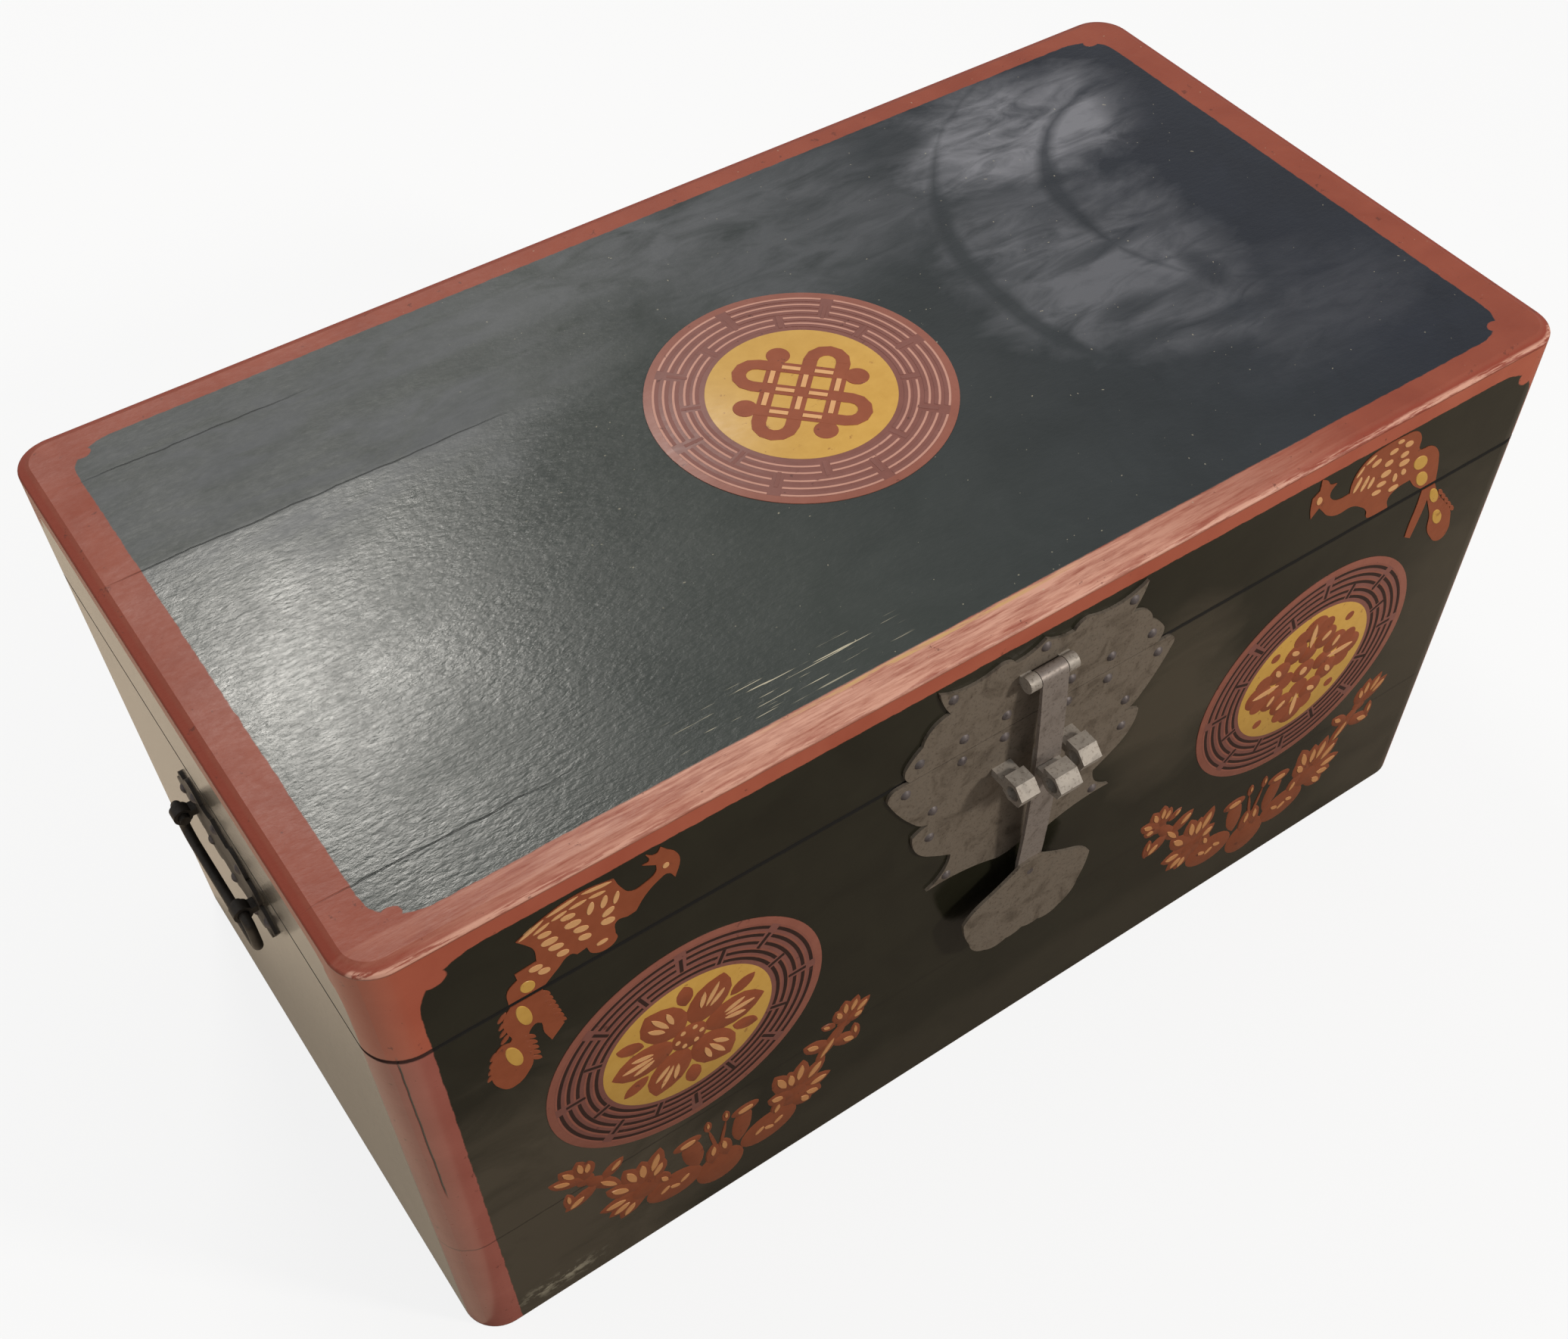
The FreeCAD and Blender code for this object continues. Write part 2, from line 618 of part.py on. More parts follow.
UPPER_FOOT = measure("seam_height + plate_gap / 2")
LOWER_HEAD = measure("seam_height - plate_gap / 2")
upper_sheet = scalloped_plate("upper_sheet", "XZ_Plane", HALF_DEPTH, "plate_thickness", UPPER_PLATE_SHARES,
                              measure("upper_plate_width / 2"), measure("upper_plate_height"), 0.0, UPPER_FOOT)
lower_sheet = scalloped_plate("lower_sheet", "XZ_Plane", HALF_DEPTH, "plate_thickness", LOWER_PLATE_SHARES,
                              measure("lower_plate_width / 2"), -measure("lower_plate_height"), 0.0, LOWER_HEAD)
PLATE = measure("plate_thickness")
UPPER_NAIL_SHARES = [(0.0, 0.87), (-0.68, 0.84), (0.68, 0.84)]
UPPER_NAIL_SHARES += [(side * u, 0.19) for side in (-1, 1) for u in (0.25, 0.57, 0.90)]
LOWER_NAIL_SHARES = [(side * u, v) for side in (-1, 1) for u, v in (
    (0.22, 0.055), (0.51, 0.055), (0.885, 0.07), (0.69, 0.30), (0.70, 0.49), (0.55, 0.88))]


def nail_places(shares, half_width, height, foot):
    return [(u * half_width, FRONT_FACE - PLATE, foot + v * height) for u, v in shares]


FRONT = (0, -1, 0)
upper_nails = nail_group("lock_plate_upper_nails", nail_places(
    UPPER_NAIL_SHARES, measure("upper_plate_width / 2"), measure("upper_plate_height"), UPPER_FOOT), FRONT)
lower_nails = nail_group("lock_plate_lower_nails", nail_places(
    LOWER_NAIL_SHARES, measure("lower_plate_width / 2"), -measure("lower_plate_height"), LOWER_HEAD), FRONT)
keep("lock_plate_upper", cut("upper_plate_cut", upper_sheet, upper_nails, *hasp_eyes.values()))
keep("lock_plate_lower", cut("lower_plate_cut", lower_sheet, lower_nails, *lock_eyes.values()))
keep("box_front_upper", cut("front_upper_cut", walls["front"], *lock_eyes.values()))
keep("lid_front_rail", cut("front_rail_cut", walls["lid_front"], *hasp_eyes.values()))

# Back hinges: scalloped leaves with three knuckles round a pin

HINGE_AXIS_Y = f"{HALF_DEPTH} + hinge_standoff + hinge_knuckle_radius"
HINGE_CLEARANCE = "hinge_knuckle_radius + hinge_standoff"
BACK_FACE = measure(HALF_DEPTH)
KNUCKLES = 3
HINGE_NAIL_SHARES = [(-0.58, 0.14), (0.58, 0.14), (-0.62, 0.50), (0.62, 0.50), (0.0, 0.76)]


def knuckle(name, centre, number):
    """One tube of the barrel, with the tongue that joins it to its leaf."""
    width = f"( hinge_width / {KNUCKLES} - hinge_standoff )"
    start = f"{centre} - hinge_width / 2 + {number} * hinge_width / {KNUCKLES} + hinge_standoff / 2"
    body = new_body(name)
    tube = sketch_on(body, "YZ_Plane", name + "_end", start)
    axis = (measure(HINGE_AXIS_Y), SEAM)
    draw_circle(tube, axis, measure("hinge_knuckle_radius"))
    draw_circle(tube, axis, measure("hinge_pin_radius + pin_clearance"))
    feature(body, "Pad", tube, width)
    return body, start, width


def hinge_leaf(label, centre, numbers, height, up):
    """Leaf on the back face, above the seam for the lid or below it for the box."""
    foot = SEAM + up * measure(HINGE_CLEARANCE)
    sheet_part = scalloped_plate(label + "_sheet", "XZ_Plane", f"-( {HALF_DEPTH} ) - plate_thickness",
                                 "plate_thickness", HINGE_LEAF_SHARES, measure("hinge_width / 2"),
                                 up * measure(height), measure(centre), foot)
    pieces = [sheet_part]
    for number in numbers:
        name = f"{label}_knuckle_{number}"
        tube, start, width = knuckle(name, centre, number)
        low = "seam_height" if up > 0 else f"seam_height - ( {HINGE_CLEARANCE} )"
        tongue = box(name + "_tongue", width, "plate_thickness", HINGE_CLEARANCE, (start, HALF_DEPTH, low))
        bored = cut(name + "_tongue_cut", tongue, pin_blank(name, start, width))
        pieces += [tube, bored]
    return fused(label + "_joined", *pieces)


def pin_blank(name, start, width):
    """Room for the pin inside a tongue."""
    blank = pin(name + "_room", "hinge_pin_radius + pin_clearance", f"{width} / 2", HINGE_AXIS_Y, "seam_height")
    blank.setExpression("Placement.Base.x", expr(start))
    return blank


def hinge_nail_places(centre, height, up):
    foot = SEAM + up * measure(HINGE_CLEARANCE)
    return [(measure(centre) + u * measure("hinge_width / 2"), BACK_FACE + PLATE, foot + up * v * measure(height))
            for u, v in HINGE_NAIL_SHARES]


HINGES = {"left": "-hinge_spread / 2", "right": "hinge_spread / 2"}
BACK = (0, 1, 0)
hinge_nails = {}
for owner, height, up in (("lid", "hinge_lid_leaf", 1), ("box", "hinge_box_leaf", -1)):
    places = [place for centre in HINGES.values() for place in hinge_nail_places(centre, height, up)]
    hinge_nails[owner] = nail_group(f"hinge_{owner}_nails", places, BACK)
for side, centre in HINGES.items():
    lid_leaf = hinge_leaf(f"hinge_{side}_lid", centre, [1], "hinge_lid_leaf", 1)
    box_leaf = hinge_leaf(f"hinge_{side}_box", centre, [0, 2], "hinge_box_leaf", -1)
    keep(f"hinge_{side}_lid_leaf", cut(f"hinge_{side}_lid_cut", lid_leaf, hinge_nails["lid"]))
    keep(f"hinge_{side}_box_leaf", cut(f"hinge_{side}_box_cut", box_leaf, hinge_nails["box"]))
    hinge_pin = pin(f"hinge_{side}_pin", "hinge_pin_radius", "hinge_width / 2", HINGE_AXIS_Y, "seam_height")
    hinge_pin.setExpression("Placement.Base.x", expr(f"{centre} - hinge_width / 2"))
    keep(f"hinge_{side}_pin", hinge_pin)

# End handles: scalloped plate, two folded posts and a drop bail

HANDLE_HEIGHT = measure("seam_height - handle_drop")
POST_BORE = measure("bail_radius + bail_play")
POSTS_FORWARD = {"front": "handle_shift + handle_post_spacing / 2", "rear": "handle_shift - handle_post_spacing / 2"}
HANDLE_NAIL_SHARES = [(0.0, 0.72), (0.0, -0.72), (-0.86, 0.0), (0.86, 0.0)]
HANDLE_NAIL_SHARES += [(u, v) for u in (-0.45, 0.45) for v in (-0.62, 0.62)]


def handle_plate(name, offset):
    """Plate that is alike on all four quarters."""
    body = new_body(name)
    sketch = sketch_on(body, "YZ_Plane", name + "_outline", offset)
    half_length = measure("handle_plate_length / 2")
    half_height = measure("handle_plate_height / 2")
    start = (0.0, half_height)
    quarter = half_run(HANDLE_PLATE_SHARES, half_length, half_height)
    right = quarter + mirrored_run(start, quarter, flip_v)
    whole = right + mirrored_run(start, right, flip_u)
    shift = -measure("handle_shift")
    moved = [[(u + shift, v + HANDLE_HEIGHT) for u, v in step] for step in whole]
    draw_run(sketch, (start[0] + shift, start[1] + HANDLE_HEIGHT), moved)
    feature(body, "Pad", sketch, "plate_thickness")
    return body


def bail(name, reach, offset):
    """Round bar bent to a drop loop, its ends turned in through the two posts."""
    middle = -measure("handle_shift")
    post_half = measure("handle_post_width / 2")
    post = measure("handle_post_spacing / 2")
    gap = measure("bail_side_gap")
    small = measure("bail_top_bend")
    large = measure("bail_low_bend")
    tip = post - post_half - measure("bail_radius")
    arm = post + post_half + gap + small
    low = HANDLE_HEIGHT - measure("bail_drop")
    turn = 0.5 ** 0.5
    half = [
        [(arm - small, HANDLE_HEIGHT)],
        [(arm - small + small * turn, HANDLE_HEIGHT - small + small * turn), (arm, HANDLE_HEIGHT - small)],
        [(arm, low + large)],
        [(arm - large + large * turn, low + large - large * turn), (arm - large, low)],
        [(0.0, low)],
    ]
    start = (tip, HANDLE_HEIGHT)
    whole = half[:-1] + [[(large - arm, low)]] + mirrored_run(start, half, flip_u)[1:]
    body = new_body(name)
    spine = sketch_on(body, "YZ_Plane", name + "_line", offset)
    here = FreeCAD.Vector(start[0] + middle, start[1], 0)
    for step in whole:
        points = [FreeCAD.Vector(u + middle, v, 0) for u, v in step]
        spine.addGeometry(Part.LineSegment(here, points[-1]) if len(points) == 1 else Part.Arc(here, *points))
        here = points[-1]
    for index in range(len(whole) - 1):
        join_ends(spine, index, index + 1)
    section = sketch_on(body, "XZ_Plane", name + "_section",
                        "handle_shift - ( handle_post_spacing / 2 - handle_post_width / 2 - bail_radius )")
    draw_circle(section, (reach, HANDLE_HEIGHT), measure("bail_radius"))
    doc.recompute()
    sweep = body.newObject("PartDesign::AdditivePipe", name + "_bar")
    sweep.Profile = section
    sweep.Spine = (spine, [f"Edge{index + 1}" for index in range(len(whole))])
    return body


for side, outward, sign in (("left", -1, "-"), ("right", 1, "")):
    face = outward * measure(HALF_LENGTH)
    posts = []
    for place, forward in POSTS_FORWARD.items():
        label = f"handle_{side}_post_{place}"
        posts.append(keep(label, folded_eye(
            label, "XZ_Plane", f"{forward} - handle_post_width / 2", "handle_post_width", outward, face,
            HANDLE_HEIGHT, measure("handle_post_reach"), POST_BORE, measure("handle_post_strip"), WOOD)))
    places = [(face + outward * PLATE, u * measure("handle_plate_length / 2") - measure("handle_shift"),
               HANDLE_HEIGHT + v * measure("handle_plate_height / 2")) for u, v in HANDLE_NAIL_SHARES]
    nails = nail_group(f"handle_{side}_nails", places, (outward, 0, 0))
    plate_start = f"-( {HALF_LENGTH} ) - plate_thickness" if outward < 0 else HALF_LENGTH
    plate = handle_plate(f"handle_{side}_sheet", plate_start)
    keep(f"handle_{side}_plate", cut(f"handle_{side}_cut", plate, nails, *posts))
    keep(f"box_{side}_upper", cut(f"{side}_upper_cut", walls[side], *posts))
    bail_offset = f"{sign}( {HALF_LENGTH} + handle_post_reach )"
    keep(f"handle_{side}_bail", bail(f"bail_{side}", face + outward * measure("handle_post_reach"), bail_offset))

# Every object is sound before anything is written

doc.recompute()
for item in doc.Objects:
    if {"Invalid", "Error"} & set(item.State):
        raise RuntimeError(f"{item.Label} is {item.State}")
shapes = {}
for label, item in nodes.items():
    solids = item.Shape.Solids
    if item.Shape.isNull() or not item.Shape.isValid() or not solids:
        raise RuntimeError(label + " has no sound shape")
    shapes[label] = solids[0] if len(solids) == 1 else Part.makeCompound(solids)
os.makedirs("parts", exist_ok=True)
for label, shape in shapes.items():
    shape.exportStep(f"parts/{label}.step")
    print(label, len(shape.Solids), round(shape.Volume), "mm3")
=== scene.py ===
# %% [markdown]
# # A painted chest
# The chest is a wooden case under dark lacquer, with red borders, carved and painted ornament, and an
# iron lock set. Its solids come from the CAD part, so this lesson only dresses them: it mixes the
# finishes, lays the thin raised ornament on the panels and sets up a small studio.

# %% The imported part
import math

import bpy
from mathutils import Matrix, Vector


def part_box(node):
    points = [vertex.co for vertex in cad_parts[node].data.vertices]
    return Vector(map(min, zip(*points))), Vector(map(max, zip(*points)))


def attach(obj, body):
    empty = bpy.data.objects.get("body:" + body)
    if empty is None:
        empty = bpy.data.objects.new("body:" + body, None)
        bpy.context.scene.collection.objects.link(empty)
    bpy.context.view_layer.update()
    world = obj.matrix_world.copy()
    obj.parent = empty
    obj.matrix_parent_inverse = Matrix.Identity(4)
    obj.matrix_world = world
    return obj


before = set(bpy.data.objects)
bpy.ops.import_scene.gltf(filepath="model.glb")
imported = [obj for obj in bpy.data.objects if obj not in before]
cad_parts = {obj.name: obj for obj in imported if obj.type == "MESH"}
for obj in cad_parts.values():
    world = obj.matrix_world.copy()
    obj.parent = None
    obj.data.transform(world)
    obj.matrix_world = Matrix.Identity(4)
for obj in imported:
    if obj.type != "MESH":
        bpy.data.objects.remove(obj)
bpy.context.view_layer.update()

MM = 0.001
HALF_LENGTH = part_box("box_front_upper")[1].x / MM
HALF_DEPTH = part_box("box_back_upper")[1].y / MM
LID_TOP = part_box("lid_front_rail")[1].z / MM
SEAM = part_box("box_front_upper")[1].z / MM
INNER_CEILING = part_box("lid_top_plank_front")[0].z / MM
INNER_LENGTH = max(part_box("box_right_upper")[0].x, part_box("lid_right_rail")[0].x) / MM
INNER_DEPTH = max(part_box("box_back_upper")[0].y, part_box("lid_back_rail")[0].y) / MM
print("case, mm:", round(2 * HALF_LENGTH), round(2 * HALF_DEPTH), round(LID_TOP), "seam at", round(SEAM))

# %% [markdown]
# ## Reckoning with shader values
# Painted borders follow the case's own measures, so their masks are sums of distances. Written as
# separate Math nodes they are hard to read. A small class that turns plus, minus and the like into Math
# nodes lets a mask be written as one line, and the nodes that come out are ordinary ones.

# %% Shader values that add up


class Signal:
    """A value in a shader tree that can be reckoned with like a number."""

    def __init__(self, tree, socket):
        self.tree = tree
        self.socket = socket

    def math(self, operation, *others, clamp=False):
        made = self.tree.nodes.new("ShaderNodeMath")
        made.operation = operation
        made.use_clamp = clamp
        for slot, source in zip(made.inputs, (self, *others)):
            feed(slot, source)
        return Signal(self.tree, made.outputs[0])

    def __add__(self, other):
        return self.math("ADD", other)

    def __sub__(self, other):
        return self.math("SUBTRACT", other)

    def __mul__(self, other):
        return self.math("MULTIPLY", other)

    def __neg__(self):
        return self.math("MULTIPLY", -1.0)

    def size(self):
        return self.math("ABSOLUTE")

    def least(self, other):
        return self.math("MINIMUM", other)

    def most(self, other):
        return self.math("MAXIMUM", other)

    def power(self, exponent):
        return self.math("POWER", exponent)

    def opposite(self):
        return self.math("MULTIPLY_ADD", -1.0, 1.0, clamp=True)

    def above(self, edge, soft):
        """1 where the value is over the edge and 0 below it, blended over a soft width."""
        return self.math("MULTIPLY_ADD", 1 / soft, 0.5 - edge / soft, clamp=True)

    def below(self, edge, soft):
        return self.above(edge, soft).opposite()

    def within(self, low, high, soft):
        return self.above(low, soft) * self.below(high, soft)


def feed(slot, source):
    """Links a signal to an input, or sets the input to a plain number or colour."""
    if isinstance(source, Signal):
        slot.id_data.links.new(source.socket, slot)
    elif source is not None:
        slot.default_value = source


# %% Colours, coordinates and noise


def paint(red, green, blue):
    """Colour written as it looks on screen, turned into the linear light that shaders use."""
    def linear(part):
        share = part / 255
        return share / 12.92 if share <= 0.04045 else ((share + 0.055) / 1.055) ** 2.4
    return (linear(red), linear(green), linear(blue), 1.0)


def mixed(share, first, second):
    """Colour that goes from the first to the second as the share goes from 0 to 1."""
    made = share.tree.nodes.new("ShaderNodeMix")
    made.data_type = "RGBA"
    for index, source in ((0, share), (6, first), (7, second)):
        feed(made.inputs[index], source)
    return Signal(share.tree, made.outputs[2])


def millimetres(tree):
    """The piece's own coordinates, in millimetres."""
    spot = tree.nodes.new("ShaderNodeTexCoord")
    scaled = tree.nodes.new("ShaderNodeVectorMath")
    scaled.operation = "SCALE"
    tree.links.new(spot.outputs["Object"], scaled.inputs[0])
    scaled.inputs["Scale"].default_value = 1 / MM
    return Signal(tree, scaled.outputs[0])


def split(vector):
    made = vector.tree.nodes.new("ShaderNodeSeparateXYZ")
    feed(made.inputs[0], vector)
    return [Signal(vector.tree, output) for output in made.outputs]


def stretched(vector, scale):
    made = vector.tree.nodes.new("ShaderNodeMapping")
    feed(made.inputs["Vector"], vector)
    made.inputs["Scale"].default_value = scale
    return Signal(vector.tree, made.outputs[0])


def noise(vector, grain, detail=3.0, roughness=0.55, warp=0.0):
    """Cloudy noise whose blots are about one grain wide, in millimetres."""
    made = vector.tree.nodes.new("ShaderNodeTexNoise")
    feed(made.inputs["Vector"], vector)
    made.inputs["Scale"].default_value = 1 / grain
    made.inputs["Detail"].default_value = detail
    made.inputs["Roughness"].default_value = roughness
    made.inputs["Distortion"].default_value = warp
    return Signal(vector.tree, made.outputs[0])


def bump(height, depth, strength=1.0):
    """Normal for a height given from 0 to 1, over a depth in millimetres."""
    made = height.tree.nodes.new("ShaderNodeBump")
    made.inputs["Strength"].default_value = strength
    made.inputs["Distance"].default_value = depth * MM
    feed(made.inputs["Height"], height)
    return Signal(height.tree, made.outputs[0])


print("test colour, mid grey:", [round(part, 3) for part in paint(128, 128, 128)])

# %% [markdown]
# ## Effects that several finishes share
# Old lacquer is mottled and finely wrinkled, iron is blotched and pitted, and bare wood has a grain. Each
# of these is wanted in more than one finish, so each is a node group that is built once, takes the place
# on the piece, and gives out only masks and heights. The finishes then choose the colours.

# %% Node groups for mottled lacquer, old iron and wood grain


def effect(name, outputs, build):
    """Node group with a place as its input and one value for each named output."""
    tree = bpy.data.node_groups.new(name, "ShaderNodeTree")
    tree.interface.new_socket(name="Place", in_out="INPUT", socket_type="NodeSocketVector")
    for output in outputs:
        tree.interface.new_socket(name=output, in_out="OUTPUT", socket_type="NodeSocketFloat")
    start = tree.nodes.new("NodeGroupInput")
    end = tree.nodes.new("NodeGroupOutput")
    for slot, value in zip(end.inputs, build(Signal(tree, start.outputs[0]))):
        feed(slot, value)
    return tree


def with_effect(group, place):
    """Places a node group in a material and gives back its outputs by name."""
    made = place.tree.nodes.new("ShaderNodeGroup")
    made.node_tree = group
    feed(made.inputs["Place"], place)
    return {output.name: Signal(place.tree, output) for output in made.outputs}


def lacquer_effect(place):
    mottle = noise(place, 34, detail=5, warp=0.6)
    wrinkle = noise(stretched(place, (0.7, 1.5, 1.2)), 3.2, detail=5, roughness=0.6, warp=0.4)
    chips = noise(place, 7, detail=6, roughness=0.7).above(0.655, 0.02)
    return mottle, wrinkle, chips


def iron_effect(place):
    blotch = noise(place, 15, detail=6, roughness=0.62, warp=0.8)
    pits = noise(place, 1.6, detail=4, roughness=0.65)
    streak = noise(stretched(place, (1.0, 1.0, 0.25)), 4, detail=4, roughness=0.6)
    return blotch, pits, streak


def grain_effect(place):
    fibre = noise(stretched(place, (0.02, 0.5, 0.5)), 2.4, detail=6, roughness=0.62, warp=0.5)
    year = noise(stretched(place, (0.05, 1.0, 1.0)), 22, detail=3, warp=1.2)
    return fibre, year


lacquer_age = effect("lacquer_age", ("Mottle", "Wrinkle", "Chips"), lacquer_effect)
iron_age = effect("iron_age", ("Blotch", "Pits", "Streak"), iron_effect)
wood_grain = effect("wood_grain", ("Fibre", "Year"), grain_effect)
print("shared effects:", [group.name for group in bpy.data.node_groups])

# %% [markdown]
# ## Painted borders of the case
# On the real chest the red bands run along every corner and round the lid's rim, and a small bracket
# fills each corner of the dark panels. All of it is flat paint over one continuous surface, so it is made
# as masks in one material instead of as extra pieces: the distance into a panel is taken from the case's
# own half sizes, and the bracket is a concave curve with a small knob in its middle.

# %% Masks of the red borders

LEFT_BAND = 17.0
RIGHT_BAND = 7.0
DEEP_BAND = 17.0
FRONT_LID_BAND = 13.0
END_LID_BAND = 15.0
TOP_BORDER = 16.5
FRONT_BRACKET = (28.0, 24.0)
END_BRACKET = (24.0, 24.0)
TOP_BRACKET = (22.0, 17.0)
LID_EDGE = 3.5
PAINT_EDGE = 0.5
WALL_SKIN = 0.6
PANEL_MIDDLE = (LEFT_BAND - RIGHT_BAND) / 2
PANEL_HALF = HALF_LENGTH - (LEFT_BAND + RIGHT_BAND) / 2
PANEL_DEPTH = HALF_DEPTH - DEEP_BAND


def bracket(along, down, reach):
    """Painted corner piece: a hollow curve from one band to the other, with a knob where they part."""
    u = (along * (1 / reach[0])).most(0.0)
    v = (down * (1 / reach[1])).most(0.0)
    curve = u.power(0.55) + v.power(0.55)
    knob_u = u - 0.3
    knob_v = v - 0.3
    knob = (knob_u * knob_u + knob_v * knob_v).below(0.045, 0.012)
    return curve.below(1.06, 0.05).most(knob)


def red_border(x, y, z, wobble):
    """Mask of all red paint, and the mask of the lid's upper face."""
    across = (x - PANEL_MIDDLE).size() + wobble
    deep = y.size() + wobble
    high = z + wobble
    on_top = z.above(LID_TOP - LID_EDGE, 0.6)
    on_end = x.size().above(HALF_LENGTH - 1.0, 0.5)
    corner = across.above(PANEL_HALF, PAINT_EDGE) * deep.above(PANEL_DEPTH, PAINT_EDGE)
    front_band = high.above(LID_TOP - FRONT_LID_BAND, PAINT_EDGE)
    end_band = high.above(LID_TOP - END_LID_BAND, PAINT_EDGE)
    front_piece = bracket(-(across - PANEL_HALF), -(high - (LID_TOP - FRONT_LID_BAND)), FRONT_BRACKET)
    end_piece = bracket(-(deep - PANEL_DEPTH), -(high - (LID_TOP - END_LID_BAND)), END_BRACKET)
    front_red = front_band.most(front_piece) * on_end.opposite()
    end_red = end_band.most(end_piece) * on_end
    sides = front_red.most(end_red).most(corner)
    inward_x = -(x.size() + wobble - (HALF_LENGTH - TOP_BORDER))
    inward_y = -(deep - (HALF_DEPTH - TOP_BORDER))
    rim = inward_x.below(0.0, PAINT_EDGE).most(inward_y.below(0.0, PAINT_EDGE))
    top_red = rim.most(bracket(inward_x, inward_y, TOP_BRACKET))
    return (sides * on_top.opposite()).most(top_red * on_top), on_top


# %% [markdown]
# ## Age of the painted case
# The lid is where the years show: dust haze that has been wiped off in strokes, short cracks over the
# joints of the planks and pale rubbed paint along the front edge. A painted highlight runs along the ridge
# of that edge, and paler places on the front are a painted sheen. They could be painted into a picture,
# but masks built from noise and from a few places on the lid stay sharp at any distance.

# %% Cracks, rubbed places, haze, and painted sheen and highlight

PLANK_JOINTS = {
    "front": (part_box("lid_top_plank_front")[1].y / MM, -HALF_LENGTH + 10, -HALF_LENGTH + 100),
    "middle": (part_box("lid_top_plank_middle")[1].y / MM, -HALF_LENGTH + 10, -HALF_LENGTH + 187),
    "rear": (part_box("lid_top_plank_rear")[1].y / MM, -HALF_LENGTH + 23, -HALF_LENGTH + 117),
}
BOX_PLANK_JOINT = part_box("box_front_lower")[1].z / MM
# Hazy places on the lid: centre, half sizes and strength
HAZE = [((-205, 110), (150, 70), 0.32), ((-60, 138), (190, 34), 0.30), ((60, 95), (90, 45), 0.22),
        ((212, 112), (74, 46), 0.85), ((172, 0), (66, 74), 0.46), ((188, -58), (52, 34), 0.34),
        ((225, -85), (80, 40), 0.13)]
# Places that a hand has wiped clean again
WIPED = [((-145, 112), (70, 9), 0.7), ((-235, 96), (40, 8), 0.5), ((-90, 92), (24, 7), 0.6),
         ((302, 40), (40, 90), 1.0), ((172, -98), (26, 16), 0.8), ((165, -40), (20, 9), 0.7),
         ((207, -74), (24, 8), 0.7), ((215, -40), (9, 22), 0.6), ((152, -63), (24, 7), 0.6),
         ((148, 138), (24, 14), 0.9), ((195, 4), (44, 6), 0.6)]
# Strokes of a cloth along a circle: centre, radius, width and the reach from front to back
STROKES = [((286, 0), 171, 10, -76, 92), ((286, 22), 98, 11, 14, 100)]
# Paler places on the front, a painted sheen: centre, half sizes and strength
FRONT_SHEEN = [((-285, 80), (100, 130), 0.54), ((300, 110), (60, 150), 0.28), ((98, 215), (42, 62), 0.42),
         ((0, 20), (330, 26), 0.12)]


def blot(u, v, mark, uneven):
    """Soft oval on a face, with an uneven edge."""
    centre, half, strength = mark
    along = (u - centre[0]) * (1 / half[0])
    across = (v - centre[1]) * (1 / half[1])
    return (along * along + across * across + uneven).below(0.85, 1.3) * strength


def stroke(x, y, mark, uneven):
    """Stroke of a cloth along a part of a circle, thin at its ends."""
    centre, radius, width, low, high = mark
    u = x - centre[0]
    v = y - centre[1]
    away = (u * u + v * v).power(0.5) - radius + uneven * 3.0
    press = y.within(low, high, 70.0)
    return (away.size() - press * (width / 2)).below(0.0, width * 0.5) * 0.8


def strongest(masks):
    whole = masks[0]
    for mask in masks[1:]:
        whole = whole.most(mask)
    return whole


def uneven_edge(place):
    return (noise(stretched(place, (0.6, 1.0, 1.0)), 42, detail=5, roughness=0.6, warp=0.8) - 0.5) * 2.6


def wiped_haze(place, x, y):
    uneven = uneven_edge(place)
    smears = noise(stretched(place, (0.35, 1.0, 1.0)), 16, detail=5, roughness=0.6, warp=1.0)
    haze = strongest([blot(x, y, mark, uneven) for mark in HAZE]) * smears.above(0.42, 0.36)
    clean = strongest([blot(x, y, mark, uneven * 0.6) for mark in WIPED]
                      + [stroke(x, y, mark, uneven) for mark in STROKES])
    return haze * clean.opposite()


def joint_cracks(place, x, y, z, on_top):
    """Thin cracks in the lacquer over the joints of the lid, and one down the front left corner."""
    wander = (noise(place, 20, detail=4) - 0.5) * 4.0
    lines = [(y - across + wander).size().below(0.3, 0.4) * x.within(start, end, 30.0) * 0.7
             for across, start, end in PLANK_JOINTS.values()]
    corner = ((x + HALF_LENGTH) - (y + HALF_DEPTH) + wander * 0.4).size().below(0.55, 0.4)
    corner = corner * z.within(SEAM - 120, SEAM, 10.0) * x.below(-HALF_LENGTH + LEFT_BAND, 1.0)
    corner = corner * y.below(-HALF_DEPTH + LEFT_BAND, 1.0)
    return (strongest(lines) * on_top).most(corner)


def rubbed_border_and_highlight(place, x, y, z):
    """Pale rubbed paint and a painted ridge highlight on the lid's front border, and the worn gold line
    inside it.
    """
    streaks = noise(stretched(place, (0.08, 1.0, 1.0)), 2.6, detail=6, roughness=0.7)
    upper = z.above(LID_TOP - LID_EDGE, 0.6)
    near_front = y.below(-HALF_DEPTH + TOP_BORDER, 1.0) * upper
    pale_marks = near_front * x.within(-262, 110, 170.0) * streaks.above(0.45, 0.3)
    # Painted highlight: a pale line along the ridge of the front edge, where the lamp glints
    ridge_highlight = (z - (LID_TOP - 2.4)).size().below(0.8, 0.5) * y.below(-HALF_DEPTH + 9, 1.0)
    ridge_highlight = ridge_highlight * streaks.above(0.48, 0.1)
    line = (y + (HALF_DEPTH - TOP_BORDER + 1.5)).size().below(1.0, 0.9) * upper
    line = line * x.within(-120, 10, 50.0) * streaks.above(0.5, 0.08)
    return pale_marks.most(ridge_highlight), line


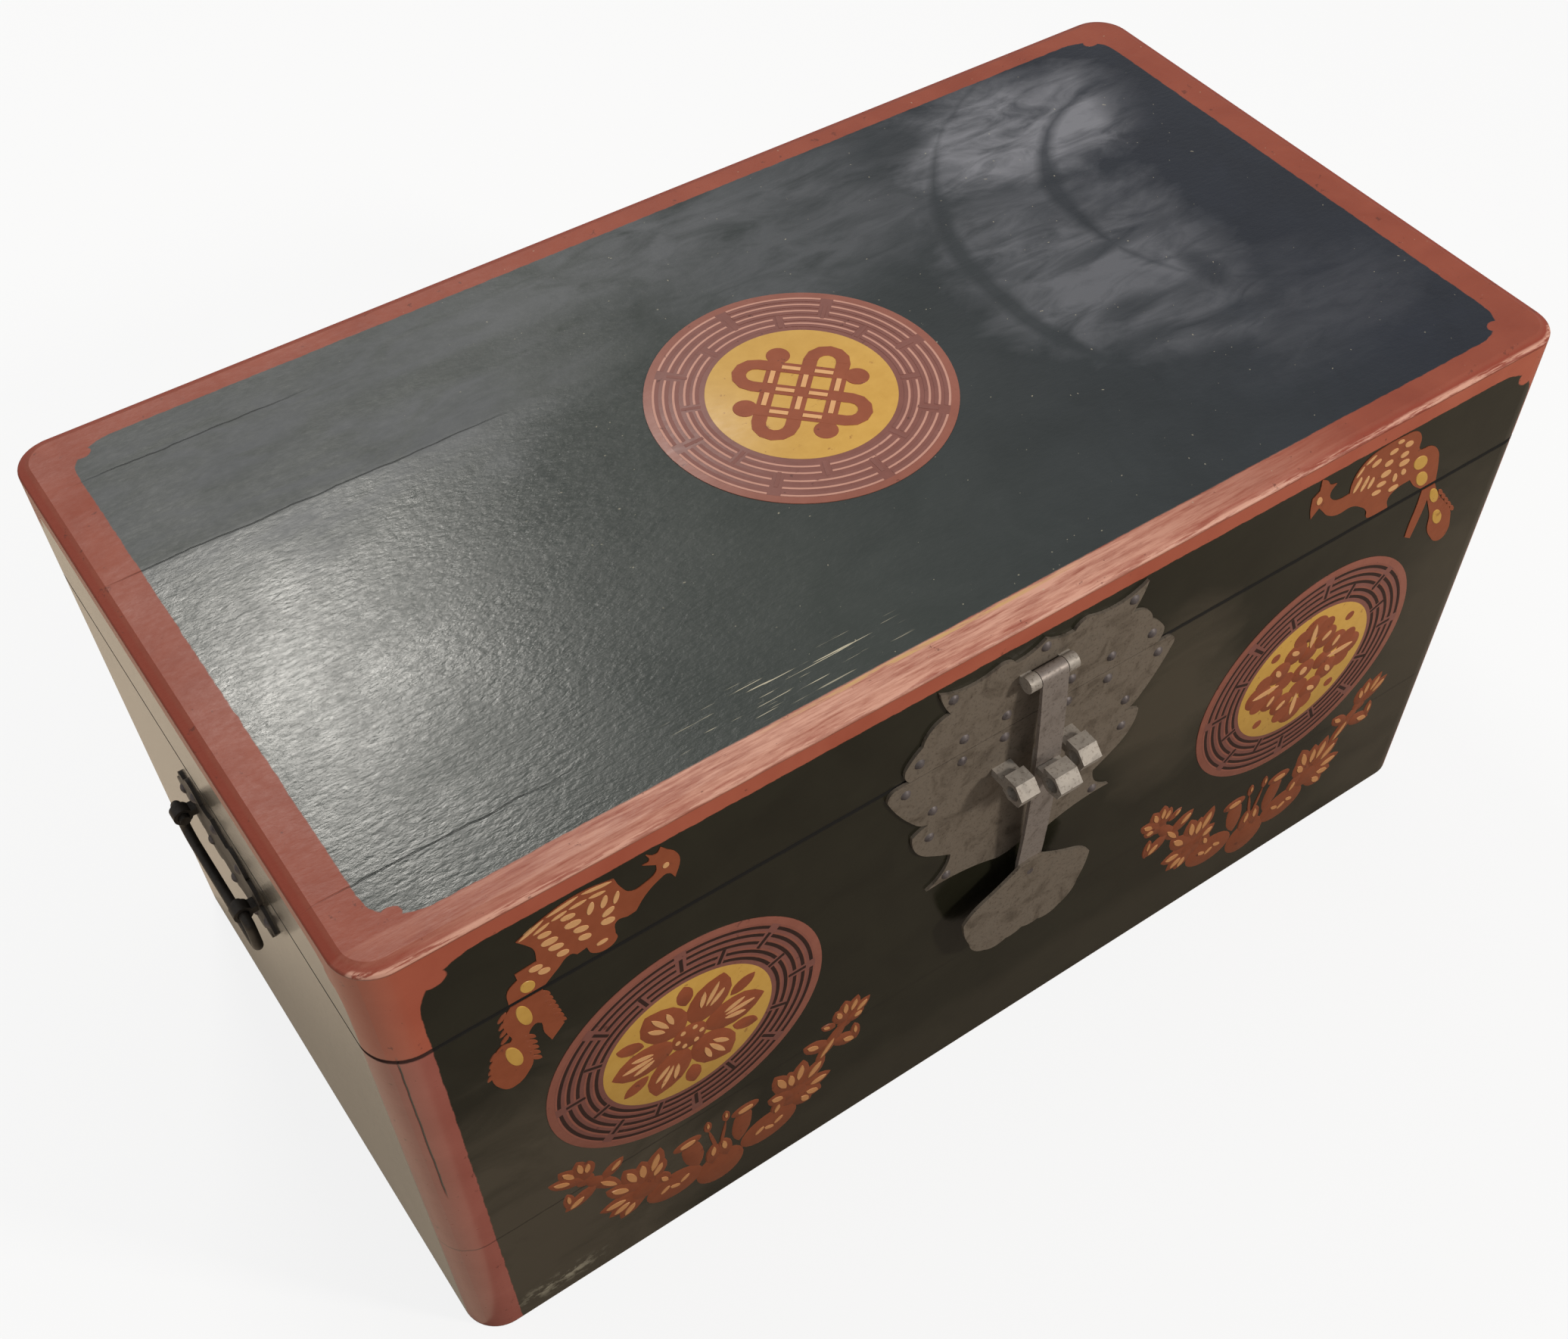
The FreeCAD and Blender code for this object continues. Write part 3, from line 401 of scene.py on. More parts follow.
def scuffs(place, x, y, z):
    """Scratches on the lid near the front, dust specks on it, and scuffs at the foot of the front."""
    fine = noise(stretched(place, (0.03, 1.0, 1.0)), 1.1, detail=2).above(0.66, 0.03)
    upper = z.above(LID_TOP - 1, 0.5)
    scratches = fine * x.within(-165, -60, 14.0) * y.within(-156, -134, 5.0) * upper
    specks = noise(place, 2.4, detail=1).above(0.8, 0.02) * x.above(-150, 100.0) * upper
    foot = noise(stretched(place, (0.5, 1.0, 0.8)), 4.5, detail=5, roughness=0.65).above(0.56, 0.12) * 0.55
    foot = foot * x.within(-HALF_LENGTH + 20, -HALF_LENGTH + 62, 22.0) * z.within(9, 20, 9.0)
    return scratches.most(specks * 0.5).most(foot * y.below(-HALF_DEPTH + 1, 0.5))


# %% The finish of the painted case


def new_finish(name):
    material = bpy.data.materials.new(name)
    material.use_nodes = True
    shader = material.node_tree.nodes["Principled BSDF"]
    return material, material.node_tree, shader.inputs


def bare_colour(grain):
    """Unpainted wood, for the inside and the underside."""
    board = mixed(grain["Fibre"], paint(104, 72, 46), paint(164, 124, 84))
    return mixed(grain["Year"].above(0.5, 0.3) * 0.35, board, paint(84, 54, 34))


def painted_case():
    material, tree, shader = new_finish("painted_case")
    place = millimetres(tree)
    x, y, z = split(place)
    age = with_effect(lacquer_age, place)
    grain = with_effect(wood_grain, place)
    wobble = (noise(place, 6, detail=4) - 0.5) * 1.6
    red, on_top = red_border(x, y, z, wobble)
    haze = wiped_haze(place, x, y) * on_top
    cracks = joint_cracks(place, x, y, z, on_top)
    pale_marks, gold_line = rubbed_border_and_highlight(place, x, y, z)

    panel = mixed(age["Mottle"], paint(25, 24, 16), paint(46, 45, 34))
    # Painted sheen: paler places on the front panel where the lacquer catches light
    front_sheen = strongest([blot(x, z, mark, uneven_edge(place)) for mark in FRONT_SHEEN])
    panel = mixed(front_sheen * y.below(-HALF_DEPTH + 1, 0.5), panel, paint(99, 90, 76))
    # Pale streaks on the left end only: partly dust, partly a painted reflection of a pale floor seen at a
    # flat angle
    dust_and_reflection = noise(stretched(place, (1.0, 1.0, 0.2)), 9, detail=5, roughness=0.6).above(0.42, 0.3)
    panel = mixed(dust_and_reflection * x.below(-HALF_LENGTH + 1, 0.5) * 0.6, panel, paint(120, 108, 92))
    # The lid's left is green lacquer lightened as a painted sheen; its right is navy lacquer
    green_and_sheen = mixed(age["Mottle"], paint(50, 56, 53), paint(68, 73, 70))
    navy_part = mixed(age["Mottle"], paint(24, 28, 37), paint(40, 45, 56))
    lid_dark = mixed(x.above(90, 330), green_and_sheen, navy_part)
    lid_face = mixed(haze, lid_dark, paint(134, 135, 142))
    side_red = mixed(age["Mottle"], paint(166, 78, 57), paint(194, 108, 84))
    maroon = mixed(age["Mottle"], paint(150, 78, 66), paint(180, 108, 95))
    below_seam = z.below(SEAM, 1.0)
    side_red = mixed(below_seam, side_red, maroon)
    top_red = mixed(age["Mottle"], paint(132, 58, 40), paint(162, 84, 62))
    top_red = mixed(z.below(LID_TOP - 0.8, 0.6) * 0.7, top_red, paint(146, 58, 38))
    colour = mixed(red, mixed(on_top, panel, lid_face), mixed(on_top, side_red, top_red))
    # Rubbed paint on the front border, together with the painted highlight along its ridge
    colour = mixed(pale_marks * 0.85, colour, paint(226, 172, 150))
    colour = mixed(gold_line, colour, paint(206, 164, 108))
    colour = mixed(age["Chips"] * red * 0.6, colour, paint(92, 44, 34))
    colour = mixed(scuffs(place, x, y, z), colour, paint(196, 188, 164))
    colour = mixed(cracks, colour, paint(14, 12, 11))
    joint_line = (z - BOX_PLANK_JOINT + wobble).size().below(0.5, 0.5) * 0.6
    # Painted shade: a near-black band along the seam between lid and box, next to the dark plank joint
    seam_shade = (z - SEAM + wobble * 0.5).size().below(1.5, 1.0) * 0.9
    colour = mixed(joint_line.most(seam_shade), colour, paint(16, 13, 11))

    room_x = x.size().below(INNER_LENGTH + WALL_SKIN, 0.4)
    room_y = y.size().below(INNER_DEPTH + WALL_SKIN, 0.4)
    inside = (room_x * room_y * z.below(INNER_CEILING + 1.0, 0.4)).most(z.below(0.3, 0.2))
    feed(shader["Base Color"], mixed(inside, colour, bare_colour(grain)))

    dull = noise(place, 60, detail=4, roughness=0.6, warp=0.2).above(0.5, 0.4)
    crackle = noise(stretched(place, (0.5, 1.0, 1.0)), 2.2, detail=3, roughness=0.6).above(0.5, 0.5)
    gloss = age["Wrinkle"] * 0.08 + on_top * (dull * 0.12 + crackle * 0.10) + 0.13
    matte = y.above(PLANK_JOINTS["middle"][0], 6.0) * x.below(-70, 180.0) * on_top * red.opposite()
    gloss = gloss + haze * 0.45 + matte * 0.2 + red * (below_seam * -0.1 + 0.22)
    feed(shader["Roughness"], gloss.most(inside * 0.75).most(seam_shade))
    leather = age["Wrinkle"] * 0.5 + noise(stretched(place, (0.5, 1.0, 1.0)), 2.4, detail=2) * 0.5
    skin = leather * (on_top * 0.8 + 0.2) - cracks * 1.5
    feed(shader["Normal"], bump(skin - inside * 0.3 * grain["Fibre"], 0.5, 0.6))
    shader["Specular IOR Level"].default_value = 0.4
    return material


case_finish = painted_case()
print("painted case:", len(case_finish.node_tree.nodes), "nodes")

# %% [markdown]
# ## Bare wood and iron
# The bottom planks are unpainted. The iron is of five kinds: dull brown sheet for the plates, strip for
# the eyes that padlocks have rubbed bright, a greyer strap, dark nail heads, and black bars for the
# handles. All have the same blotches and pits, so one function makes them with their own colours and gloss.

# %% Wood and iron finishes


def bare_wood():
    material, tree, shader = new_finish("bare_wood")
    grain = with_effect(wood_grain, millimetres(tree))
    feed(shader["Base Color"], bare_colour(grain))
    feed(shader["Roughness"], grain["Fibre"] * 0.2 + 0.62)
    feed(shader["Normal"], bump(grain["Fibre"], 0.3, 0.4))
    return material


def old_iron(name, dark, light, rust, metal, gloss):
    material, tree, shader = new_finish(name)
    age = with_effect(iron_age, millimetres(tree))
    face = mixed(age["Blotch"].within(0.32, 0.68, 0.3), dark, light)
    face = mixed(age["Streak"].above(0.52, 0.2) * 0.3, face, light)
    feed(shader["Base Color"], mixed(age["Pits"].above(0.6, 0.12) * 0.55, face, rust))
    feed(shader["Metallic"], age["Blotch"].below(0.6, 0.5) * metal)
    feed(shader["Roughness"], age["Blotch"] * 0.25 + gloss)
    feed(shader["Normal"], bump(age["Pits"] * 0.6 + age["Streak"] * 0.4, 0.12, 0.5))
    return material


wood_finish = bare_wood()
sheet_finish = old_iron("aged_iron", paint(94, 85, 74), paint(134, 123, 110), paint(70, 58, 48), 0.6, 0.40)
strip_finish = old_iron("worn_iron", paint(122, 113, 105), paint(168, 160, 150),
                        paint(92, 79, 69), 0.3, 0.40)
strap_finish = old_iron("strap_iron", paint(108, 99, 92), paint(146, 136, 129),
                        paint(78, 66, 58), 0.5, 0.36)
nail_finish = old_iron("nail_iron", paint(66, 60, 62), paint(106, 98, 97), paint(50, 42, 39), 0.5, 0.42)
handle_finish = old_iron("black_iron", paint(30, 27, 24), paint(62, 56, 50), paint(44, 32, 25), 0.5, 0.40)
print("finishes:", [material.name for material in bpy.data.materials if material.use_nodes])

# %% Finishes on the CAD pieces

SHEET_ENDS = ("_plate", "_leaf", "_upper", "_lower")
STRIP_STARTS = ("lock_eye", "hasp_eye", "hasp_hinge")


def finish_for(node):
    """Finish of a CAD piece and the slot that its record gives it."""
    if node.startswith("bottom_plank"):
        return wood_finish, "bare_wood"
    if node.startswith(("box_", "lid_")):
        return case_finish, "lacquered_wood"
    slot = "aged_iron" if node.endswith(SHEET_ENDS) else "worn_iron"
    if node.endswith(("_nails", "_rivet")):
        return nail_finish, slot
    if node.startswith("handle_"):
        return handle_finish, slot
    if node == "hasp_strap":
        return strap_finish, slot
    return strip_finish if node.startswith(STRIP_STARTS) else sheet_finish, slot


for node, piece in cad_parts.items():
    finish, slot_name = finish_for(node)
    piece.data.materials.clear()
    piece.data.materials.append(finish)
print("dressed", len(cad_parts), "CAD pieces")

# %% [markdown]
# ## Ornament finishes
# The ornament is low relief under lacquer: red figures, gold grounds, and strokes of pale gold. Each
# colour is a glossy paint that is a little mottled and chipped, so one function makes them all.

# %% Lacquer colours for the ornament


def ornament_lacquer(name, low, high, chipped, gloss):
    material, tree, shader = new_finish(name)
    place = millimetres(tree)
    age = with_effect(lacquer_age, place)
    fine = noise(place, 5, detail=4)
    face = mixed(age["Mottle"] * 0.5 + fine * 0.5, low, high)
    feed(shader["Base Color"], mixed(age["Chips"] * 0.7, face, chipped))
    feed(shader["Roughness"], age["Wrinkle"] * 0.2 + gloss)
    feed(shader["Normal"], bump(age["Wrinkle"] * 0.5 + fine * 0.5, 0.15, 0.35))
    shader["Specular IOR Level"].default_value = 0.4
    return material


ORNAMENT_COLOURS = {
    "figure_red": (paint(132, 64, 37), paint(168, 92, 61), paint(96, 50, 38), 0.30),
    "ground_gold": (paint(194, 146, 62), paint(226, 182, 96), paint(164, 112, 58), 0.30),
    "stroke_gold": (paint(210, 148, 92), paint(238, 190, 136), paint(184, 116, 72), 0.35),
    "rim_red": (paint(132, 76, 62), paint(164, 104, 88), paint(100, 58, 50), 0.32),
    "ring_brown": (paint(116, 70, 61), paint(148, 97, 88), paint(90, 52, 46), 0.35),
    "groove_dark": (paint(40, 22, 19), paint(60, 36, 31), paint(90, 52, 44), 0.40),
    "spray_red": (paint(116, 60, 37), paint(154, 85, 56), paint(92, 48, 36), 0.32),
    "spray_gold": (paint(184, 120, 72), paint(218, 162, 108), paint(160, 96, 60), 0.35),
    "groove_pale": (paint(180, 126, 110), paint(214, 164, 146), paint(130, 80, 68), 0.40),
}
ornament = {name: ornament_lacquer(name, *recipe) for name, recipe in ORNAMENT_COLOURS.items()}
print("ornament colours:", ", ".join(ornament))

# %% [markdown]
# ## Unit shapes
# A feather, a petal, a leaf and a pale stroke are all one of two shapes at different sizes: a pointed
# petal and a round spot. Each is modelled once, one unit long, from a circle that is drawn out, raised
# and narrowed towards its upper face like carved relief. Copies are then stretched along a line.

# %% A petal and a spot, each modelled once

RELIEF = 0.35 * MM
EASED = 0.12 * MM
SLOPE_SHARE = 0.88


def deselect():
    bpy.ops.object.select_all(action="DESELECT")


def only(piece):
    deselect()
    piece.select_set(True)
    bpy.context.view_layer.objects.active = piece


def edit_points(piece, wanted):
    """Goes into edit mode with the points selected that a test picks out by their place."""
    only(piece)
    bpy.ops.object.mode_set(mode="EDIT")
    bpy.ops.mesh.select_mode(type="VERT")
    bpy.ops.mesh.select_all(action="DESELECT")
    bpy.ops.object.mode_set(mode="OBJECT")
    for point in piece.data.vertices:
        point.select = wanted(point.co)
    bpy.ops.object.mode_set(mode="EDIT")


def narrowed(piece, wanted, middle, width):
    """Draws the chosen points together across the shape."""
    edit_points(piece, wanted)
    bpy.ops.transform.resize(value=(1, width, 1), center_override=middle)
    bpy.ops.object.mode_set(mode="OBJECT")


def unit_shape(name, sides, taper):
    """Raised shape from x 0 to 1, half a unit to each side, as thick as the relief."""
    deselect()
    bpy.ops.mesh.primitive_circle_add(vertices=sides, radius=0.5, fill_type="NGON", location=(0.5, 0, 0))
    piece = bpy.context.object
    piece.name = name
    bpy.ops.object.transform_apply(location=True)
    for end, width in taper:
        narrowed(piece, lambda place: abs(place.x - 0.5) > 0.5 - end, (0.5, 0, 0), width)
    edit_points(piece, lambda place: True)
    bpy.ops.mesh.extrude_region_move(TRANSFORM_OT_translate={"value": (0, 0, RELIEF)})
    bpy.ops.transform.resize(value=(SLOPE_SHARE, SLOPE_SHARE, 1), center_override=(0.5, 0, RELIEF))
    bpy.ops.object.mode_set(mode="OBJECT")
    return piece


# How far from its ends the petal is drawn in, and to what share of its width
PETAL_TAPER = ((0.3, 0.85), (0.12, 0.6))
petal_shape = unit_shape("petal_shape", 16, PETAL_TAPER)
spot_shape = unit_shape("spot_shape", 24, ())
print("unit shapes:", len(petal_shape.data.polygons), len(spot_shape.data.polygons), "faces")

# %% Laying shapes on a panel

ON_FRONT = Matrix.Translation((0, -HALF_DEPTH * MM, 0)) @ Matrix.Rotation(math.radians(90), 4, "X")
ON_TOP = Matrix.Translation((0, 0, LID_TOP * MM))
LAYER_STEP = 0.004


def lay(shape, start, end, width, level=0.0):
    """Copy of a unit shape from one point to another on a panel, in millimetres, at a level of relief."""
    run = Vector(end) - Vector(start)
    piece = shape.copy()
    piece.data = shape.data.copy()
    bpy.context.collection.objects.link(piece)
    turn = Matrix.Rotation(math.atan2(run.y, run.x), 4, "Z")
    size = Matrix.Diagonal((run.length * MM, width * MM, 1 + level, 1))
    piece.data.transform(Matrix.Translation((start[0] * MM, start[1] * MM, 0)) @ turn @ size)
    return piece


def spot(centre, length, width, angle=0.0, level=1.0):
    """Round or oval spot about its centre, turned by an angle in degrees."""
    reach = Vector((math.cos(math.radians(angle)), math.sin(math.radians(angle)))) * length / 2
    return lay(spot_shape, Vector(centre) - reach, Vector(centre) + reach, width, level)


def outline_piece(name, outline, level=0.0):
    """Piece cut to a closed outline: points of two numbers are smooth, points of three are corners."""
    curve = bpy.data.curves.new(name, "CURVE")
    curve.dimensions = "2D"
    curve.fill_mode = "BOTH"
    curve.extrude = RELIEF * (1 + level) / 2
    spline = curve.splines.new("BEZIER")
    spline.bezier_points.add(len(outline) - 1)
    spline.use_cyclic_u = True
    spline.resolution_u = 4
    for point, place in zip(spline.bezier_points, outline):
        point.co = (place[0] * MM, place[1] * MM, 0)
        kind = "AUTO" if len(place) == 2 else "VECTOR"
        point.handle_left_type = kind
        point.handle_right_type = kind
    piece = bpy.data.objects.new(name, curve)
    bpy.context.collection.objects.link(piece)
    only(piece)
    bpy.ops.object.convert(target="MESH")
    piece.data.transform(Matrix.Translation((0, 0, RELIEF * (1 + level) / 2)))
    return piece


def gather(name, parts, panel, colour, body):
    """Joins the parts of one colour, each a hair higher than the last, and stands them on their panel."""
    deselect()
    for number, part in enumerate(parts):
        part.data.transform(Matrix.Diagonal((1, 1, 1 + LAYER_STEP * number, 1)))
        part.select_set(True)
    bpy.context.view_layer.objects.active = parts[0]
    bpy.ops.object.join()
    piece = bpy.context.object
    piece.name = name
    piece.data.transform(panel)
    piece.data.materials.clear()
    piece.data.materials.append(ornament[colour])
    bpy.ops.object.shade_smooth_by_angle(angle=math.radians(35))
    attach(piece, body)
    return piece


# %% [markdown]
# ## Medallions
# Each medallion is a gold disc in a broad brown ring with a redder rim, and the ring is carved with a
# fret of eight keys that hook into each other. The discs are turned pieces, so they come from cylinders.
# The grooves follow circles and spokes, each with a pale line beside it where the carved edge takes light.

# %% Discs, rings and fret lines

RING_RADIUS = 75.0
FIELD_RADIUS = 71.0
DISC_RADIUS = 46.0
KEYS = 8
GROOVE_WIDTH = 1.9
LIGHT_WIDTH = 1.1
LIGHT_OFFSET = 1.5
OUTER_GROOVES = (68.8, 64.0, 59.2)
INNER_GROOVES = (54.0, 49.6)
OUTER_SPOKE = (55.5, 65.5)
INNER_SPOKE = (48.5, 58.0)
GROOVE_STOP = math.radians(2.6)


def disc(name, radius, level, centre):
    """Turned disc whose upper edge is eased."""
    deselect()
    height = RELIEF * (1 + level)
    bpy.ops.mesh.primitive_cylinder_add(vertices=96, radius=radius * MM, depth=height,
                                        location=(centre[0] * MM, centre[1] * MM, height / 2))
    piece = bpy.context.object
    piece.name = name
    bpy.ops.object.transform_apply(location=True)
    edit_points(piece, lambda place: place.z > height / 2)
    bpy.ops.mesh.bevel(offset=EASED, segments=2)
    bpy.ops.object.mode_set(mode="OBJECT")
    return piece


def round_point(centre, radius, angle):
    return (centre[0] + radius * math.cos(angle), centre[1] + radius * math.sin(angle), 0)


def arc_line(centre, radius, start, end, width):
    """Outline of a line of even width along a circle."""
    steps = max(2, round(abs(end - start) * radius / 4))
    angles = [start + (end - start) * step / steps for step in range(steps + 1)]
    outer = [round_point(centre, radius + width / 2, angle) for angle in angles]
    inner = [round_point(centre, radius - width / 2, angle) for angle in reversed(angles)]
    return outer + inner


def spoke_line(centre, span, angle, width):
    """Outline of a short line across the ring."""
    low, high = span
    half_low = width / 2 / low
    half_high = width / 2 / high
    return [round_point(centre, low, angle - half_low), round_point(centre, high, angle - half_high),
            round_point(centre, high, angle + half_high), round_point(centre, low, angle + half_low)]


def fret(centre):
    """Grooves of the keys of a ring, and the lights beside them."""
    key = 2 * math.pi / KEYS
    grooves, lights = [], []
    for number in range(KEYS):
        tick = math.pi / 2 + key * number
        runs = [(radius, tick + GROOVE_STOP, tick + key - GROOVE_STOP) for radius in OUTER_GROOVES]
        reach = key / 2 - GROOVE_STOP
        runs += [(radius, tick - reach, tick + reach) for radius in INNER_GROOVES]
        for radius, start, end in runs:
            grooves.append(arc_line(centre, radius, start, end, GROOVE_WIDTH))
            lights.append(arc_line(centre, radius + LIGHT_OFFSET, start, end, LIGHT_WIDTH))
        grooves.append(spoke_line(centre, OUTER_SPOKE, tick, GROOVE_WIDTH))
        grooves.append(spoke_line(centre, INNER_SPOKE, tick + key / 2, GROOVE_WIDTH))
    return ([outline_piece("groove", outline, 0.26) for outline in grooves],
            [outline_piece("groove_light", outline, 0.24) for outline in lights])


def medallion(name, centre, panel, body, groove_colour, light_colour):
    grooves, lights = fret(centre)
    gather(name + "_rim", [disc(name, RING_RADIUS, 0.0, centre)], panel, "rim_red", body)
    gather(name + "_ring", [disc(name, FIELD_RADIUS, 0.15, centre)], panel, "ring_brown", body)
    gather(name + "_gold", [disc(name, DISC_RADIUS, 0.35, centre)], panel, "ground_gold", body)
    gather(name + "_grooves", grooves, panel, groove_colour, body)
    gather(name + "_lights", lights, panel, light_colour, body)


LEFT_CENTRE = (-194.0, 175.0)
RIGHT_CENTRE = (197.0, 174.0)
TOP_CENTRE = (-7.0, 0.0)
medallion("left_medallion", LEFT_CENTRE, ON_FRONT, "box", "groove_dark", "rim_red")
medallion("right_medallion", RIGHT_CENTRE, ON_FRONT, "box", "groove_dark", "rim_red")
medallion("top_medallion", TOP_CENTRE, ON_TOP, "lid", "ring_brown", "groove_pale")
print("medallions: 3, keys in each fret:", KEYS)

# %% [markdown]
# ## Figures in the medallions
# The gold discs carry red figures of the kind that such lacquer has: a flower with six petals, four
# cloud heads and a knot of woven bands. Each has pale strokes along its middle lines, as carved red has.

# %% Flower, clouds and knot

# Lobes of a cloud head: how far out, how far to the side and how wide
CLOUD_LOBES = [(14, 0, 15), (23, -28, 18), (23, 28, 18), (33, 0, 20), (32, -16, 13), (32, 16, 13)]
KNOT_SPACING = 16.0
KNOT_BAND = 7.0
KNOT_REACH = 24.0


def around(centre, radius, degrees):
    angle = math.radians(degrees)
    return (centre[0] + radius * math.cos(angle), centre[1] + radius * math.sin(angle))


def turned(centre, place, degrees):
    """Place drawn about the middle of a figure, turned round it."""
    return Vector(centre) + Matrix.Rotation(math.radians(degrees), 2) @ Vector(place)


def bar(start, end, width, level):
    """Straight bar between two points."""
    run = (Vector(end) - Vector(start)).normalized()
    side = Vector((-run.y, run.x)) * width / 2
    ends = [Vector(start) + side, Vector(end) + side, Vector(end) - side, Vector(start) - side]
    return outline_piece("bar", [(corner.x, corner.y, 0) for corner in ends], level)


def flower_figure(centre):
    red, pale = [], [spot(around(centre, 6.5, turn), 3.2, 3.2, level=1.9) for turn in range(0, 360, 60)]
    for turn in range(0, 360, 60):
        red.append(lay(petal_shape, around(centre, 26, turn + 30), around(centre, 44, turn + 30), 10, 0.6))
        red.append(lay(petal_shape, around(centre, 5, turn), around(centre, 43.5, turn), 25, 0.8))
        for lean, reach in ((-11, 32), (0, 37), (11, 32)):
            start = around(centre, 19, turn + lean * 0.7)
            pale.append(lay(petal_shape, start, around(centre, reach, turn + lean), 3.2, 1.6))
    red.append(spot(centre, 21, 21, level=1.2))
    return red, pale


def cloud_figure(centre):
    red = [spot(centre, 18, 18, level=0.8)]
    pale = [spot(centre, 6, 6, level=1.6)]
    for turn in range(0, 360, 90):
        for out, aside, wide in CLOUD_LOBES:
            red.append(spot(around(centre, out, turn + aside), wide, wide, level=0.7))
        red.append(spot(around(centre, 38, turn + 45), 7, 7, level=0.6))
        pale.append(lay(petal_shape, around(centre, 17, turn), around(centre, 38, turn), 4.2, 1.6))
        for aside in (-28, 28):
            pale.append(spot(around(centre, 24, turn + aside), 8, 3.6, turn + aside * 2, 1.6))
    return red, pale


def knot_figure(centre):
    """Endless knot: three bands each way, joined at their ends by loops."""
    red, pale = [], []
    for level, lean in ((0.6, 45), (0.75, -45)):
        def put(place):
            return turned(centre, place, lean)

        for row in (-1, 0, 1):
            height = row * KNOT_SPACING
            red.append(bar(put((-KNOT_REACH, height)), put((KNOT_REACH, height)), KNOT_BAND, level))
            for step in (-1, 0):
                start = (step * KNOT_SPACING + KNOT_BAND / 2, height)
                end = ((step + 1) * KNOT_SPACING - KNOT_BAND / 2, height)
                pale.append(bar(put(start), put(end), 2.4, 1.4))
        for end in (-1, 1):
            middle = put((end * KNOT_REACH, -end * KNOT_SPACING / 2))
            facing = math.radians(lean if end > 0 else lean + 180)
            loop = arc_line(middle, KNOT_SPACING / 2, facing - math.pi / 2, facing + math.pi / 2, KNOT_BAND)
            red.append(outline_piece("loop", loop, level + 0.07))
            red.append(spot(put((end * KNOT_REACH, end * KNOT_SPACING)), 13, 13, level=level + 0.1))
    return red, pale


for name, figure, centre, panel, body in (("left", flower_figure, LEFT_CENTRE, ON_FRONT, "box"),
                                          ("right", cloud_figure, RIGHT_CENTRE, ON_FRONT, "box"),
                                          ("top", knot_figure, TOP_CENTRE, ON_TOP, "lid")):
    red, pale = figure(centre)
    gather(name + "_figure", red, panel, "figure_red", body)
    gather(name + "_figure_strokes", pale, panel, "stroke_gold", body)
print("figures: flower, clouds, knot")

# %% [markdown]
# ## Birds across the seam
# A long-tailed bird stands in each upper corner of the front. Its body is on the lid and its tail on the
# box, so the painter's one figure is two pieces that part when the lid opens. The outlines are drawn as
# filled curves with few points, because no primitive has this shape, and feather strokes are laid on top.

# %% Drawings of the birds, in millimetres to the right of a corner and down from the lid's band
# An outline's points are smooth with two numbers and corners with three.
# A feather is a place, a length, a width and an angle.

LEFT_BIRD = {
    "corner": -HALF_LENGTH + 30.0,
    "body": [
        (30.5, 20, 0), (44, 14), (60, 11), (75.5, 14, 0), (78, 22), (82.5, 28.5), (88, 28),
        (94, 24.5), (94.5, 20, 0), (88.5, 15.5, 0), (91.5, 15), (90.5, 10, 0), (95, 13),
        (97.5, 10, 0), (100, 13.5), (104, 18.5), (105.5, 25), (102.5, 34.8, 0), (99, 29.5),
        (95.5, 30.5), (88, 36), (83, 43, 0), (79, 43.5, 0), (74, 42.5), (72.5, 50, 0), (73, 54),
        (68, 57.8), (61, 55), (59, 49, 0), (54.5, 50, 0), (51.5, 47.5), (45, 52.5),
        (38.5, 58.3, 0), (21.5, 58.3, 0), (22.5, 49), (27.5, 45, 0), (27, 40.5, 0), (37, 39.5, 0),
        (37, 31), (34, 25),
    ],
    "tail": [
        (21.8, 60.9, 0), (37, 60.9, 0), (37.5, 66), (39, 76), (41, 86), (43, 93, 0),
        (36, 100.5, 0), (33.5, 92), (31.5, 82), (28, 84), (26.5, 90), (27.5, 98), (26.5, 105),
        (24, 112.5), (14.5, 119.5), (9, 114.5), (6.5, 101), (9, 91), (14, 84.5), (18.5, 85),
        (18, 78), (17, 70), (19.5, 64),
    ],
    "feathers": [
        (42.5, 25, 7, 3.6, -12), (44, 31.2, 8.5, 4.6, -10), (46.2, 37, 8, 4, -20),
        (48.5, 43.5, 6.5, 4, -20), (53.5, 22, 7.5, 3.6, -12), (55, 28.3, 8.5, 4.6, -12),
        (58, 34.5, 8, 4, -22), (59, 41, 7, 4, -25), (63.5, 24.5, 8, 3.4, 72),
        (69.7, 25, 8, 3.4, 72), (75.2, 26.5, 8, 2.8, 72), (70.8, 33, 7, 4, 25),
        (70, 39, 7.5, 4.4, -20), (36, 43.7, 7, 4, -15), (39.2, 48.5, 6.5, 4, -25),
        (98.8, 23.5, 3.4, 3.4, 0), (66, 51, 6, 2.8, 0),
    ],
    "gold": [(31, 53, 9, 7, -70)],
    "tail_gold": [(26.7, 71.5, 18, 6.6, -80), (18.3, 97, 19, 6.8, -78)],
    "lines": [(2.4, [(31, 20.8), (44, 14.9), (60, 12.2), (75, 14.8)]),
              (2.2, [(37.5, 21.5), (46, 18.8), (54, 17.5), (63, 17.3), (71.5, 18.5)])],
    "barbs": [((36.5, 63), (41, 88), 7, (3.4, 4.2)), ((26, 88), (26.5, 106), 5, (3.6, 4.0)),
              ((18.5, 64), (17.5, 80), 4, (-3.4, 3.6)), ((11, 88), (7.5, 102), 4, (-3.2, 3.4))],
}
